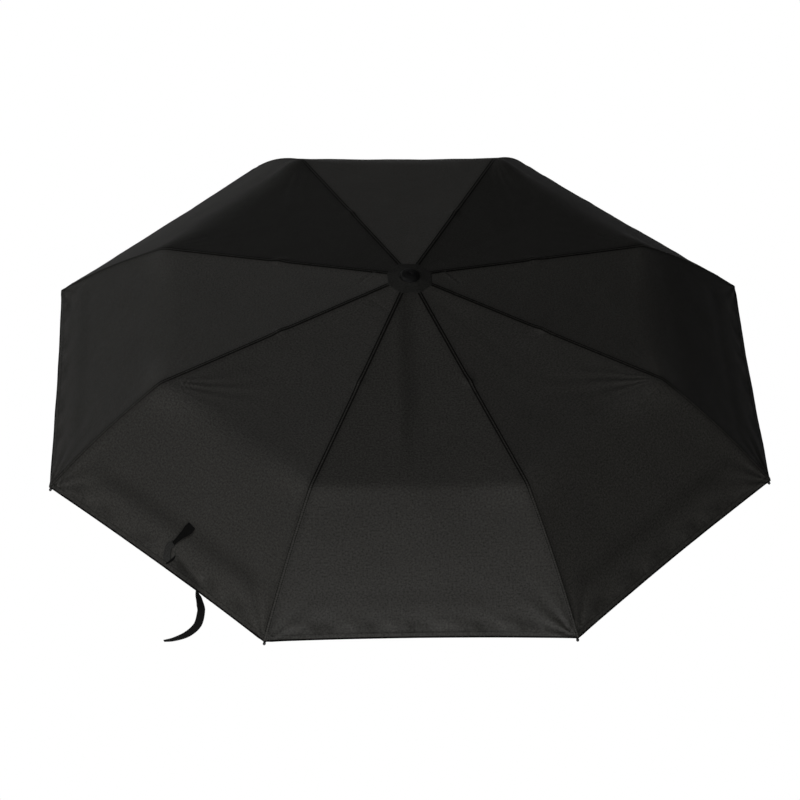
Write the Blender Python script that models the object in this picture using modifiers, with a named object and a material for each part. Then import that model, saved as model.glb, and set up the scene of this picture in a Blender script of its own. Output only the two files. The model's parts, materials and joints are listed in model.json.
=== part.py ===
"""A folding umbrella: eight three-section ribs, a telescoping three-tube shaft, a straight grip and a fabric canopy.

Metres, +Z up. The origin is the centre of the grip's flat bottom face and +Z runs up the shaft.
The umbrella is modelled open, with the shaft extended. Every rib lies in its own vertical plane
through the shaft, so one rib is designed in (r, z) and then turned to its azimuth.
"""

import math

import bmesh
import bpy
from mathutils import Matrix, Vector

MM = 0.001

# --- driving dimensions -------------------------------------------------------------------------
RIB_COUNT = 8
FIRST_RIB_DEG = 22.5
HALF_GORE = math.radians(180 / RIB_COUNT)
COLLECTION = "folding_umbrella"

# shaft
GRIP_TOP_Z = 80 * MM
TUBE_TRAVEL = 150 * MM
CROWN_Z = 279 * MM + 2 * TUBE_TRAVEL  # height of the top ribs' pivot plane
BOTTOM_TUBE_R = 4.3 * MM
MIDDLE_TUBE_R = 5.1 * MM
TOP_TUBE_R = 6.0 * MM
TUBE_WALL = 0.6 * MM
BOTTOM_TUBE_Z = (14 * MM, 257 * MM)
MIDDLE_TUBE_Z = (84 * MM + TUBE_TRAVEL, 272 * MM + TUBE_TRAVEL)
TOP_TUBE_Z = (84 * MM + 2 * TUBE_TRAVEL, 274 * MM + 2 * TUBE_TRAVEL)

# rib linkage: pivot circle, distances between pivots, and slopes below the horizontal when open
PIVOT_R = 10.5 * MM
TOP_RIB_LENGTH = 167.1 * MM
MIDDLE_RIB_LENGTH = 160.2 * MM
OUTER_RIB_LENGTH = 194 * MM
OUTER_RIB_BOW = 6.5 * MM  # the rod's arch, drawn up by the stretched fabric
TOP_SLOPE = math.radians(10.4)
MIDDLE_SLOPE = math.radians(10.4)
OUTER_SLOPE = math.radians(39.3)
STRETCHER_JOINT = 84 * MM  # from the crown pivot, along the top rib
STRETCHER_LENGTH = 89 * MM
KNEE_RISE = 3.0 * MM  # the top and middle ribs' pivot, above both centre lines
ELBOW_DROP = 2.2 * MM  # the middle and outer ribs' pivot, below the middle rib's centre line
ELBOW_RISE = 2.0 * MM  # the outer rib's centre line, above the same pivot

# rib sections
SHEET = 0.5 * MM
TOP_RIB_HALF = (1.9 * MM, 2.0 * MM)  # half width, half depth
MIDDLE_RIB_HALF = (1.7 * MM, 1.7 * MM)
STRETCHER_HALF = (1.1 * MM, 1.2 * MM)
ROD_R = 1.25 * MM
FERRULE_R = 1.8 * MM
FERRULE_END = 22 * MM
TIP_LENGTH = 16 * MM
EYE_R = 1.5 * MM
EAR_R = 1.3 * MM
PIN_R = 0.55 * MM
PIN_HOLE_R = 0.75 * MM
PIN_HEAD_R = 1.0 * MM
PIN_HEAD_T = 0.4 * MM
WIRE_R = 0.42 * MM
WIRE_GROOVE = 0.65 * MM  # half the height of the grooves that hold the pivot wires
CLEAR = 0.3 * MM

# canopy
FABRIC_T = 0.5 * MM
FABRIC_LIFT = 2.9 * MM  # outer face of the fabric, above the ribs' centre lines
KNEE_BUMP = 2.3 * MM
FABRIC_HOLE_R = 4.3 * MM
FABRIC_SHORT_OF_TIP = 4 * MM
HEM_SCALLOP = 5 * MM
GORE_SAG = 4 * MM
PATCH_R = 29 * MM

# crown, cap and runner
CROWN_R = 12.8 * MM
CAP_R = 13.0 * MM
CAP_TOP = 8.4 * MM  # the flat ring round the dimple, above the crown's pivot plane
RUNNER_R = 12.8 * MM
RUNNER_SLEEVE_R = 8.0 * MM
RUNNER_BOTTOM = -24 * MM
RUNNER_TOP = 5 * MM

# grip
GRIP_R = 15.5 * MM
CORE_R = 11.2 * MM


# --- scene helpers ------------------------------------------------------------------------------
def clear_scene():
    for obj in list(bpy.data.objects):
        bpy.data.objects.remove(obj, do_unlink=True)


def part_collection():
    collection = bpy.data.collections.new(COLLECTION)
    bpy.context.scene.collection.children.link(collection)
    return collection


def make_material(name, color, roughness, metallic=0.0):
    material = bpy.data.materials.new(name)
    material.use_nodes = True
    shader = material.node_tree.nodes["Principled BSDF"]
    shader.inputs["Base Color"].default_value = (*color, 1.0)
    shader.inputs["Roughness"].default_value = roughness
    shader.inputs["Metallic"].default_value = metallic
    return material


def make_object(name, mesh):
    obj = bpy.data.objects.new(name, mesh)
    PARTS.objects.link(obj)
    return obj


def discard(obj):
    bpy.data.objects.remove(obj, do_unlink=True)


def bake(obj):
    """The object's evaluated mesh, moved to world space, with its caps welded and its faces pointing out."""
    bpy.context.view_layer.update()
    graph = bpy.context.evaluated_depsgraph_get()
    mesh = bpy.data.meshes.new_from_object(obj.evaluated_get(graph))
    mesh.transform(obj.matrix_world)
    shape = bmesh.new()
    shape.from_mesh(mesh)
    bmesh.ops.remove_doubles(shape, verts=shape.verts, dist=0.001 * MM)
    bmesh.ops.recalc_face_normals(shape, faces=shape.faces)
    shape.to_mesh(mesh)
    shape.free()
    name = obj.name
    discard(obj)
    made = make_object(name, mesh)
    made.name = name
    return made


def combine(obj, tool, operation):
    """obj after a Boolean with tool, which is used up."""
    modifier = obj.modifiers.new(operation.title(), "BOOLEAN")
    modifier.operation = operation
    modifier.solver = "EXACT"
    modifier.object = tool
    made = bake(obj)
    discard(tool)
    return made


def add(obj, *tools):
    for tool in tools:
        obj = combine(obj, tool, "UNION")
    return obj


def cut(obj, *tools):
    for tool in tools:
        obj = combine(obj, tool, "DIFFERENCE")
    return obj


def finish(obj, name, material, smooth_deg=35):
    obj.name = name
    obj.data.name = name
    obj.data.materials.clear()
    obj.data.materials.append(material)
    obj.data.shade_smooth()
    obj.data.set_sharp_from_angle(angle=math.radians(smooth_deg))
    return obj


# --- shape helpers ------------------------------------------------------------------------------
def box(low, high):
    shape = bmesh.new()
    size = Vector(high) - Vector(low)
    centre = (Vector(high) + Vector(low)) / 2
    matrix = Matrix.Translation(centre) @ Matrix.Diagonal((*size, 1.0))
    bmesh.ops.create_cube(shape, size=1.0, matrix=matrix)
    mesh = bpy.data.meshes.new("box")
    shape.to_mesh(mesh)
    shape.free()
    return make_object("box", mesh)


def cylinder(start, end, radius, segments=10, end_radius=None):
    """A solid cylinder or cone from one point to another."""
    start, end = Vector(start), Vector(end)
    along = end - start
    turn = along.to_track_quat("Z", "Y").to_matrix().to_4x4()
    shape = bmesh.new()
    bmesh.ops.create_cone(
        shape,
        cap_ends=True,
        segments=segments,
        radius1=radius,
        radius2=radius if end_radius is None else end_radius,
        depth=along.length,
        matrix=Matrix.Translation((start + end) / 2) @ turn,
    )
    mesh = bpy.data.meshes.new("cylinder")
    shape.to_mesh(mesh)
    shape.free()
    return make_object("cylinder", mesh)


def cross_pin(x, z, radius, half_width, segments=6):
    """A cylinder along Y, as a pin or as the cutter of a pin's hole."""
    return cylinder((x, -half_width, z), (x, half_width, z), radius, segments)


def turned(outline, steps=24):
    """A solid of revolution about Z. The outline is (r, z) points; one with no point at r 0 is closed."""
    mesh = bpy.data.meshes.new("outline")
    ring = all(r > 0 for r, _ in outline)
    edges = [(i, i + 1) for i in range(len(outline) - 1)]
    if ring:
        edges.append((len(outline) - 1, 0))
    mesh.from_pydata([(r, 0.0, z) for r, z in outline], edges, [])
    obj = make_object("turned", mesh)
    screw = obj.modifiers.new("Screw", "SCREW")
    screw.axis = "Z"
    screw.angle = math.tau
    screw.steps = steps
    screw.render_steps = steps
    screw.use_merge_vertices = True
    screw.merge_threshold = 0.01 * MM
    return bake(obj)


def tube(inner, outer, bottom, top, steps=24):
    return turned([(inner, bottom), (inner, top), (outer, top), (outer, bottom)], steps)


def flat_outline(points, half_thickness):
    """A flat plate in the XZ plane: a filled 2D curve, extruded both ways along Y."""
    curve = bpy.data.curves.new("outline", "CURVE")
    curve.dimensions = "2D"
    curve.fill_mode = "BOTH"
    curve.extrude = half_thickness
    spline = curve.splines.new("POLY")
    spline.points.add(len(points) - 1)
    for point, (x, z) in zip(spline.points, points):
        point.co = (x, z, 0.0, 1.0)
    spline.use_cyclic_u = True
    obj = make_object("flat_outline", curve)
    obj.rotation_euler = (math.radians(90), 0.0, 0.0)
    return bake(obj)


def strip_outline(path, thickness):
    """The closed outline of a bent strip, from the (x, z) points down its middle."""
    sides = ([], [])
    for i, point in enumerate(path):
        before = Vector(path[max(i - 1, 0)])
        after = Vector(path[min(i + 1, len(path) - 1)])
        along = (after - before).normalized()
        normal = Vector((-along.y, along.x)) * (thickness / 2)
        sides[0].append(tuple(Vector(point) + normal))
        sides[1].append(tuple(Vector(point) - normal))
    return sides[0] + sides[1][::-1]


def wire(points, radius, cyclic=False, resolution=1):
    curve = bpy.data.curves.new("wire", "CURVE")
    curve.dimensions = "3D"
    curve.bevel_depth = radius
    curve.bevel_resolution = resolution
    curve.use_fill_caps = True
    spline = curve.splines.new("POLY")
    spline.points.add(len(points) - 1)
    for point, place in zip(spline.points, points):
        point.co = (*place, 1.0)
    spline.use_cyclic_u = cyclic
    return bake(make_object("wire", curve))


def arc(centre, radius, start_deg, end_deg, steps):
    """Points on a circle in a plane, both ends included."""
    angles = [math.radians(start_deg + (end_deg - start_deg) * i / steps) for i in range(steps + 1)]
    return [(centre[0] + radius * math.cos(a), centre[1] + radius * math.sin(a)) for a in angles]


def rib_azimuth(index):
    return math.radians(FIRST_RIB_DEG) + index * math.tau / RIB_COUNT


# --- rib geometry in the (r, z) plane -----------------------------------------------------------
def along(slope):
    """The unit vector that runs outward, down a slope."""
    return Vector((math.cos(slope), -math.sin(slope)))


def above(slope):
    """The unit vector square to a slope, on the fabric's side."""
    return Vector((math.sin(slope), math.cos(slope)))


CROWN_PIVOT = Vector((PIVOT_R, CROWN_Z))
STRETCHER_PIVOT = CROWN_PIVOT + along(TOP_SLOPE) * STRETCHER_JOINT
KNEE_PIVOT = CROWN_PIVOT + along(TOP_SLOPE) * TOP_RIB_LENGTH + above(TOP_SLOPE) * KNEE_RISE
MIDDLE_START = KNEE_PIVOT - above(MIDDLE_SLOPE) * KNEE_RISE
MIDDLE_END = MIDDLE_START + along(MIDDLE_SLOPE) * MIDDLE_RIB_LENGTH
ELBOW_PIVOT = MIDDLE_END - above(MIDDLE_SLOPE) * ELBOW_DROP
OUTER_START = ELBOW_PIVOT + above(OUTER_SLOPE) * ELBOW_RISE
OUTER_END = OUTER_START + along(OUTER_SLOPE) * OUTER_RIB_LENGTH
RUNNER_DROP = math.sqrt(STRETCHER_LENGTH**2 - (STRETCHER_PIVOT.x - PIVOT_R) ** 2)
RUNNER_Z = STRETCHER_PIVOT.y - RUNNER_DROP
STRETCHER_SLOPE = math.asin(RUNNER_DROP / STRETCHER_LENGTH)


# --- grip ---------------------------------------------------------------------------------------
def build_grip(plastic, rubber, steel, cord):
    core_bottom, core_top = 6 * MM, 76 * MM
    tube_hole = BOTTOM_TUBE_R + 0.15 * MM
    pin_z = 30 * MM
    pin_r = 1.2 * MM
    pin_half = 10.6 * MM

    core = turned(
        [
            (0.0, core_top - 1 * MM),
            (CORE_R, core_top - 1 * MM),
            (CORE_R, core_bottom + 4 * MM),
            (CORE_R - 2.2 * MM, core_bottom + 4 * MM),
            (CORE_R - 2.2 * MM, core_bottom),
            (0.0, core_bottom),
        ]
    )
    core = cut(
        core,
        cylinder((0, 0, BOTTOM_TUBE_Z[0] - CLEAR), (0, 0, core_top + 5 * MM), tube_hole, 24),
        cylinder((-CORE_R * 2, 0, pin_z), (CORE_R * 2, 0, pin_z), pin_r + 0.15 * MM, 12),
    )
    finish(core, "handle_core", plastic)

    pin = cylinder((-pin_half, 0, pin_z), (pin_half, 0, pin_z), pin_r, 12)
    finish(pin, "handle_pin", steel)

    shell_r = CORE_R + CLEAR
    grip_low, grip_high = 10.3 * MM, 69.7 * MM
    waist = [
        (GRIP_R + 0.9 * MM * math.cos(math.tau * k / 8), grip_low + (grip_high - grip_low) * k / 8)
        for k in range(9)
    ]
    grip = turned([(shell_r, grip_low)] + waist + [(shell_r, grip_high)])
    finish(grip, "handle_grip", rubber)

    collar = turned(
        [
            (shell_r, 70 * MM),
            (16.6 * MM, 70 * MM),
            (17.2 * MM, 72 * MM),
            (18.4 * MM, GRIP_TOP_Z - 1 * MM),
            (17.8 * MM, GRIP_TOP_Z),
            (16.0 * MM, GRIP_TOP_Z),
            (15.0 * MM, 76.5 * MM),
            (shell_r, 75.5 * MM),
        ]
    )
    finish(collar, "handle_collar", plastic)

    cap_top = 10 * MM
    end_cap = turned(
        [
            (0.0, core_bottom - CLEAR),
            (CORE_R - 2.2 * MM + CLEAR, core_bottom - CLEAR),
            (CORE_R - 2.2 * MM + CLEAR, core_bottom + 4 * MM - CLEAR),
            (16.2 * MM, cap_top),
            (16.4 * MM, 5 * MM),
            (15.6 * MM, 1.6 * MM),
            (14.0 * MM, 0.0),
            (0.0, 0.0),
        ]
    )
    notch_in, notch_half, pin_x, cord_z = 8.4 * MM, 2.2 * MM, 13.0 * MM, 4.9 * MM
    cord_pin_r = 0.9 * MM
    end_cap = cut(
        end_cap,
        box((notch_in, -notch_half, -1 * MM), (20 * MM, notch_half, 9.2 * MM)),
        cross_pin(pin_x, cord_z, cord_pin_r + 0.15 * MM, 6.3 * MM, 10),
    )
    finish(end_cap, "handle_end_cap", plastic)
    finish(cross_pin(pin_x, cord_z, cord_pin_r, 6.0 * MM, 10), "cord_pin", steel)

    # the cord turns over its pin, and its two strands open into a short hanging loop
    cord_r = 1.1 * MM
    bend_r = cord_pin_r + CLEAR + cord_r
    loop_r = 8.5 * MM
    loop_z = -38 * MM
    over = [(x, z) for x, z in arc((0, 0), bend_r, 180, 0, 8)]
    # each strand leaves the straight line over a smooth step and meets the loop's side
    sides = []
    for k in range(1, 10):
        t = k / 10
        spread = bend_r + (loop_r - bend_r) * t * t * (3 - 2 * t)
        sides.append((spread, -6 * MM + (loop_z + 6 * MM) * t))
    bottom = arc((0, loop_z), loop_r, 0, -180, 12)
    path = over + sides + bottom + [(-x, z) for x, z in reversed(sides)]
    loop = wire([(x, 0.0, z) for x, z in path], cord_r, cyclic=True)
    loop.location = (pin_x, 0.0, cord_z)
    finish(loop, "cord_loop", cord)


# --- shaft --------------------------------------------------------------------------------------
def hairpin(leg_height, half_span, strip_t, half_width):
    """A bent leaf spring that opens upwards, in the XZ plane, with the middle of its bend at z 0."""
    bend = arc((0, half_span), half_span, 180, 360, 8)
    path = [(-half_span, leg_height)] + bend + [(half_span, leg_height)]
    return flat_outline(strip_outline(path, strip_t), half_width)


def build_catch(name, tube_inner, nub_reach, top_z, steel):
    """A hairpin spring inside a tube's top end. Its nub comes out through the tube's wall, towards +Y."""
    height, strip_t, nub_r = 12 * MM, 0.4 * MM, 1.1 * MM
    half_span = tube_inner - 0.35 * MM - strip_t / 2 - 0.2 * MM
    half_width = 1.2 * MM
    nub_z = 7 * MM
    catch = hairpin(height, half_span, strip_t, half_width)
    catch = add(catch, cylinder((half_span - 0.1 * MM, 0, nub_z), (nub_reach, 0, nub_z), nub_r, 10, 0.8 * MM))
    catch.rotation_euler.z = math.radians(90)
    catch.location.z = top_z - height - 1 * MM
    catch = bake(catch)
    finish(catch, name, steel)
    return top_z - height - 1 * MM + nub_z, nub_r


def build_shaft(steel, bright_steel):
    stages = (
        ("bottom_tube", BOTTOM_TUBE_R, BOTTOM_TUBE_Z, "lower_catch", MIDDLE_TUBE_R - TUBE_WALL),
        ("middle_tube", MIDDLE_TUBE_R, MIDDLE_TUBE_Z, "upper_catch", TOP_TUBE_R - TUBE_WALL),
        ("top_tube", TOP_TUBE_R, TOP_TUBE_Z, None, None),
    )
    for name, outer, (bottom, top), catch, next_inner in stages:
        shaft_tube = tube(outer - TUBE_WALL, outer, bottom, top)
        if catch:
            reach = next_inner - 0.1 * MM
            nub_z, nub_r = build_catch(catch, outer - TUBE_WALL, reach, top, bright_steel)
            hole = cylinder((0, outer / 2, nub_z), (0, outer * 2, nub_z), nub_r + 0.15 * MM, 12)
            shaft_tube = cut(shaft_tube, hole)
        if name == "bottom_tube":
            pin_hole = cylinder((-outer * 2, 0, 30 * MM), (outer * 2, 0, 30 * MM), 1.35 * MM, 12)
            shaft_tube = cut(shaft_tube, pin_hole)
        finish(shaft_tube, name, steel)


# --- crown, cap and runner ----------------------------------------------------------------------
def slots(inner, outer, half_width, low, high):
    """One cutter for each rib, as boxes that run out from the shaft."""
    made = []
    for index in range(RIB_COUNT):
        slot = box((inner, -half_width, low), (outer, half_width, high))
        slot.rotation_euler.z = rib_azimuth(index)
        made.append(bake(slot))
    return made


def ring_wire(radius, wire_r, z, gap_deg):
    """A wire bent into a ring that doesn't quite close."""
    gap = gap_deg / 2
    points = [(x, y, z) for x, y in arc((0, 0), radius, gap, 360 - gap, 36)]
    return wire(points, wire_r)


def build_crown(plastic, steel, gloss):
    bore_r = TOP_TUBE_R + 0.15 * MM
    core_r = 7.3 * MM
    crown = turned(
        [
            (3.5 * MM, 2.4 * MM),
            (7.0 * MM, 2.4 * MM),
            (CROWN_R, 1.2 * MM),
            (CROWN_R, WIRE_GROOVE),
            (PIVOT_R - WIRE_GROOVE, WIRE_GROOVE),
            (PIVOT_R - WIRE_GROOVE, -WIRE_GROOVE),
            (CROWN_R, -WIRE_GROOVE),
            (CROWN_R, -3.6 * MM),
            (core_r, -3.6 * MM),
            (core_r, -16 * MM),
            (bore_r, -16 * MM),
            (bore_r, -4.6 * MM),
            (3.5 * MM, -4.6 * MM),
        ]
    )
    crown = cut(crown, *slots(8.0 * MM, 16 * MM, TOP_RIB_HALF[0] + CLEAR, -8 * MM, 6 * MM))
    crown.location.z = CROWN_Z
    finish(crown, "crown", plastic)

    ring = ring_wire(PIVOT_R, WIRE_R, CROWN_Z, 10)
    finish(ring, "crown_wire", steel)

    cap = turned(
        [
            (0.0, 7.5 * MM),
            (2.0 * MM, 7.6 * MM),
            (3.0 * MM, CAP_TOP),
            (5.4 * MM, CAP_TOP),
            (9.6 * MM, 7.5 * MM),
            (12.2 * MM, 5.7 * MM),
            (CAP_R, 4.7 * MM),
            (CAP_R, 3.9 * MM),
            (10.4 * MM, 4.65 * MM),
            (3.1 * MM, 4.65 * MM),
            (3.1 * MM, -3.5 * MM),
            (0.0, -3.5 * MM),
        ]
    )
    cap.location.z = CROWN_Z
    finish(cap, "top_cap", gloss)


def build_runner(plastic, gloss):
    bore_r = TOP_TUBE_R + 0.25 * MM
    runner = turned(
        [
            (bore_r, RUNNER_TOP),
            (RUNNER_SLEEVE_R, RUNNER_TOP),
            (RUNNER_SLEEVE_R, 3 * MM),
            (RUNNER_R, 2.4 * MM),
            (RUNNER_R, WIRE_GROOVE),
            (PIVOT_R - WIRE_GROOVE, WIRE_GROOVE),
            (PIVOT_R - WIRE_GROOVE, -WIRE_GROOVE),
            (RUNNER_R, -WIRE_GROOVE),
            (RUNNER_R, -2.4 * MM),
            (RUNNER_SLEEVE_R, -4.5 * MM),
            (RUNNER_SLEEVE_R, -19 * MM),
            (10.2 * MM, -21 * MM),
            (10.2 * MM, RUNNER_BOTTOM + 0.6 * MM),
            (9.6 * MM, RUNNER_BOTTOM),
            (bore_r, RUNNER_BOTTOM),
        ]
    )
    runner = cut(runner, *slots(8.6 * MM, 16 * MM, STRETCHER_HALF[0] + CLEAR, -8 * MM, 8 * MM))
    button_z, button_half = -12 * MM, 2.4 * MM
    window = box(
        (-button_half - 0.2 * MM, -12 * MM, button_z - 4.2 * MM),
        (button_half + 0.2 * MM, -5 * MM, button_z + 4.2 * MM),
    )
    runner = cut(runner, window)
    runner.location.z = RUNNER_Z
    finish(runner, "runner", plastic)

    button = box((-button_half, -9.6 * MM, button_z - 4 * MM), (button_half, -7.2 * MM, button_z + 4 * MM))
    bevel = button.modifiers.new("Bevel", "BEVEL")
    bevel.width = 0.6 * MM
    bevel.segments = 2
    button = bake(button)
    button.location.z = RUNNER_Z
    finish(button, "runner_button", gloss)


# --- ribs: each is made once, at its own pivot, then shared by eight objects -----------------------
def rivet(x, z, half_width):
    """A rivet along Y, with heads outside walls that end at half_width."""
    head = half_width + 0.15 * MM
    end = head + PIN_HEAD_T
    outline = [(0, -end), (PIN_HEAD_R, -end), (PIN_HEAD_R, -head), (PIN_R, -head)]
    pin = turned(outline + [(r, -y) for r, y in reversed(outline)], steps=8)
    pin.rotation_euler.x = math.radians(90)
    pin.location = (x, 0.0, z)
    return bake(pin)


def top_rib_shape():
    """A folded-sheet channel, open below. Its origin is the crown pivot and X runs outward."""
    half_w, half_d = TOP_RIB_HALF
    inner = half_w - SHEET
    end = TOP_RIB_LENGTH
    roof = half_d - SHEET
    eye = arc((0, 0), EYE_R, 60, 300, 5)
    ear = arc((end, KNEE_RISE), EAR_R, 0, 150, 4)
    rib = flat_outline(
        eye
        + [(2.2 * MM, -half_d), (end - 1 * MM, -half_d), (end + EAR_R, KNEE_RISE - 1.5 * MM)]
        + ear
        + [(end - 4.4 * MM, half_d), (2.2 * MM, half_d)],
        half_w,
    )
    far = end + 4 * MM
    channel = [(2.6 * MM, -4 * MM), (far, -4 * MM), (far, 8 * MM), (end - 3.8 * MM, 8 * MM)]
    channel += [(end - 3.8 * MM, roof), (2.6 * MM, roof)]
    return cut(
        rib,
        flat_outline(channel, inner),
        cross_pin(0, 0, WIRE_R + 0.38 * MM, 3 * MM),
        cross_pin(STRETCHER_JOINT, 0, PIN_HOLE_R, 3 * MM),
        cross_pin(end, KNEE_RISE, PIN_HOLE_R, 3 * MM),
    )


def stretcher_shape():
    """A slim bar that folds into the top rib's channel. Its origin is the rib rivet; X runs to the runner."""
    half_w, half_d = STRETCHER_HALF
    end = STRETCHER_LENGTH
    outline = arc((0, 0), half_d, 90, 270, 4) + arc((end, 0), half_d, -90, 90, 4)
    bar = cut(flat_outline(outline, half_w), cross_pin(end, 0, 0.7 * MM, 3 * MM))
    return add(bar, rivet(0, 0, TOP_RIB_HALF[0]))


def middle_rib_shape():
    """A channel like the top rib's. Its origin is the knee pivot, which is above its centre line."""
    half_w, half_d = MIDDLE_RIB_HALF
    inner = half_w - SHEET
    mid = -KNEE_RISE
    end = MIDDLE_RIB_LENGTH
    elbow_z = mid - ELBOW_DROP
    ear = arc((end, elbow_z), EAR_R, 210, 360, 4)
    rib = flat_outline(
        [(2.4 * MM, mid + half_d), (2.4 * MM, mid - half_d), (end - 6 * MM, mid - half_d)]
        + ear
        + [(end + 0.6 * MM, mid + half_d)],
        half_w,
    )
    rib = cut(rib, box((0, -inner, mid - 8 * MM), (end + 4 * MM, inner, mid + half_d - SHEET)))
    tongue_top = mid + half_d - 0.2 * MM
    tongue = flat_outline(
        [(7 * MM, mid - 1.2 * MM), (7 * MM, tongue_top), (2 * MM, tongue_top)]
        + arc((0, 0), 1.2 * MM, 20, 180, 4)
        + [(-1.2 * MM, -1.5 * MM), (1.5 * MM, mid - 1.2 * MM)],
        TOP_RIB_HALF[0] - SHEET - CLEAR,
    )
    rib = cut(add(rib, tongue), cross_pin(end, elbow_z, PIN_HOLE_R, 3 * MM))
    return add(rib, rivet(0, 0, TOP_RIB_HALF[0]))


def bow(distance):
    """How far the outer rib's centre line arches above the straight line from its start to its tip."""
    share = distance / OUTER_RIB_LENGTH
    return 4 * OUTER_RIB_BOW * share * (1 - share)


def arched(obj):
    """The object, which lies along X, with its points raised on to the outer rib's arch."""
    for vertex in obj.data.vertices:
        vertex.co.z += bow(max(vertex.co.x, 0.0))
    return obj


def outer_rib_shape():
    """A round spring-steel rod in a pressed ferrule. Its origin is the elbow pivot, below its centre line."""
    mid = ELBOW_RISE
    tongue = flat_outline(
        arc((0, 0), 1.1 * MM, 90, 270, 4) + [(5 * MM, 0.6 * MM), (5 * MM, mid + 0.9 * MM), (2.4 * MM, mid + 0.9 * MM)],
        MIDDLE_RIB_HALF[0] - SHEET - CLEAR,
    )
    end = OUTER_RIB_LENGTH - 6.5 * MM
    bends = 8
    stations = [end + (FERRULE_END - end) * k / bends for k in range(bends + 1)]
    rod = turned(
        [
            (0.0, end),
            *[(ROD_R, station) for station in stations],
            (FERRULE_R, FERRULE_END - 1.2 * MM),
            (FERRULE_R, 2.8 * MM),
            (0.0, 2.8 * MM),
        ],
        steps=10,
    )
    rod.rotation_euler.y = math.radians(90)
    rod.location.z = mid
    return add(arched(bake(rod)), tongue, rivet(0, 0, MIDDLE_RIB_HALF[0]))


def tip_shape():
    """A moulded cap over the rod's end, waisted where the canopy's corner is sewn on."""
    start = OUTER_RIB_LENGTH - TIP_LENGTH
    end = OUTER_RIB_LENGTH
    bore = ROD_R + 0.15 * MM
    tip = turned(
        [
            (0.0, end),
            (1.3 * MM, end - 0.5 * MM),
            (1.9 * MM, end - 2.2 * MM),
            (1.35 * MM, end - 4 * MM),
            (1.6 * MM, end - 6 * MM),
            (2.0 * MM, start),
            (bore, start),
            (bore, end - 6.3 * MM),
            (0.0, end - 6.3 * MM),
        ],
        steps=10,
    )
    tip.rotation_euler.y = math.radians(90)
    tip.location.z = ELBOW_RISE
    return arched(bake(tip))


def place_on_ribs(shape, name, material, pivot, slope):
    """Eight objects that share one mesh, each with its origin on its joint's axis."""
    mesh = finish(shape, name, material).data
    discard(shape)
    for index in range(RIB_COUNT):
        azimuth = rib_azimuth(index)
        obj = make_object(f"{name}_{index + 1}", mesh)
        obj.location = (pivot.x * math.cos(azimuth), pivot.x * math.sin(azimuth), pivot.y)
        obj.rotation_euler = (0.0, slope, azimuth)


def build_ribs(steel, aluminium, plastic):
    place_on_ribs(top_rib_shape(), "top_rib", steel, CROWN_PIVOT, TOP_SLOPE)
    place_on_ribs(stretcher_shape(), "stretcher", steel, STRETCHER_PIVOT, math.pi - STRETCHER_SLOPE)
    place_on_ribs(middle_rib_shape(), "middle_rib", aluminium, KNEE_PIVOT, MIDDLE_SLOPE)
    place_on_ribs(outer_rib_shape(), "outer_rib", steel, ELBOW_PIVOT, OUTER_SLOPE)
    place_on_ribs(tip_shape(), "rib_tip", plastic, ELBOW_PIVOT, OUTER_SLOPE)


# --- canopy -------------------------------------------------------------------------------------
def lifted(start, slope, distance, lift):
    return start + along(slope) * distance + above(slope) * lift


def fabric_profile():
    """The fabric's outer face over a rib, as (r, z) points from the crown to the tip."""
    knee_flat, knee_ramp = 3 * MM, 11 * MM
    top = CROWN_PIVOT
    bump = FABRIC_LIFT + KNEE_BUMP
    bend = (MIDDLE_SLOPE + OUTER_SLOPE) / 2
    corner = MIDDLE_END + above(bend) * (FABRIC_LIFT / math.cos((OUTER_SLOPE - MIDDLE_SLOPE) / 2))
    corner_round = 5 * MM
    hem = OUTER_RIB_LENGTH - FABRIC_SHORT_OF_TIP
    outer_stations = [FERRULE_END, hem * 0.35, hem * 0.65, OUTER_RIB_LENGTH - TIP_LENGTH, hem]
    return [
        Vector((FABRIC_HOLE_R, CROWN_Z + 3.7 * MM)),
        Vector((9 * MM, CROWN_Z + 3.7 * MM)),
        lifted(top, TOP_SLOPE, 9 * MM, FABRIC_LIFT),
        lifted(top, TOP_SLOPE, PATCH_R - PIVOT_R, FABRIC_LIFT),
        lifted(top, TOP_SLOPE, STRETCHER_JOINT, FABRIC_LIFT),
        lifted(top, TOP_SLOPE, TOP_RIB_LENGTH - knee_ramp, FABRIC_LIFT),
        lifted(top, TOP_SLOPE, TOP_RIB_LENGTH - knee_flat, bump),
        lifted(MIDDLE_START, MIDDLE_SLOPE, knee_flat, bump),
        lifted(MIDDLE_START, MIDDLE_SLOPE, knee_ramp, FABRIC_LIFT),
        lifted(MIDDLE_START, MIDDLE_SLOPE, MIDDLE_RIB_LENGTH / 2, FABRIC_LIFT),
        corner - along(MIDDLE_SLOPE) * corner_round,
        corner,
        lifted(corner, OUTER_SLOPE, corner_round, bow(2 * corner_round)),
        *[lifted(OUTER_START, OUTER_SLOPE, distance, FABRIC_LIFT + bow(distance)) for distance in outer_stations],
    ]


def gore_point(place, v, outward, tangent, sag, pull_in=0.0):
    """A point of one gore: place is on the rib's profile and v runs from -1 to 1 across the gore."""
    reach = place.x * math.cos(HALF_GORE) - pull_in * (1 - v * v)
    side = place.x * math.sin(HALF_GORE) * v
    height = place.y - sag * (1 - v * v)
    return outward * reach + tangent * side + Vector((0, 0, height))


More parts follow.
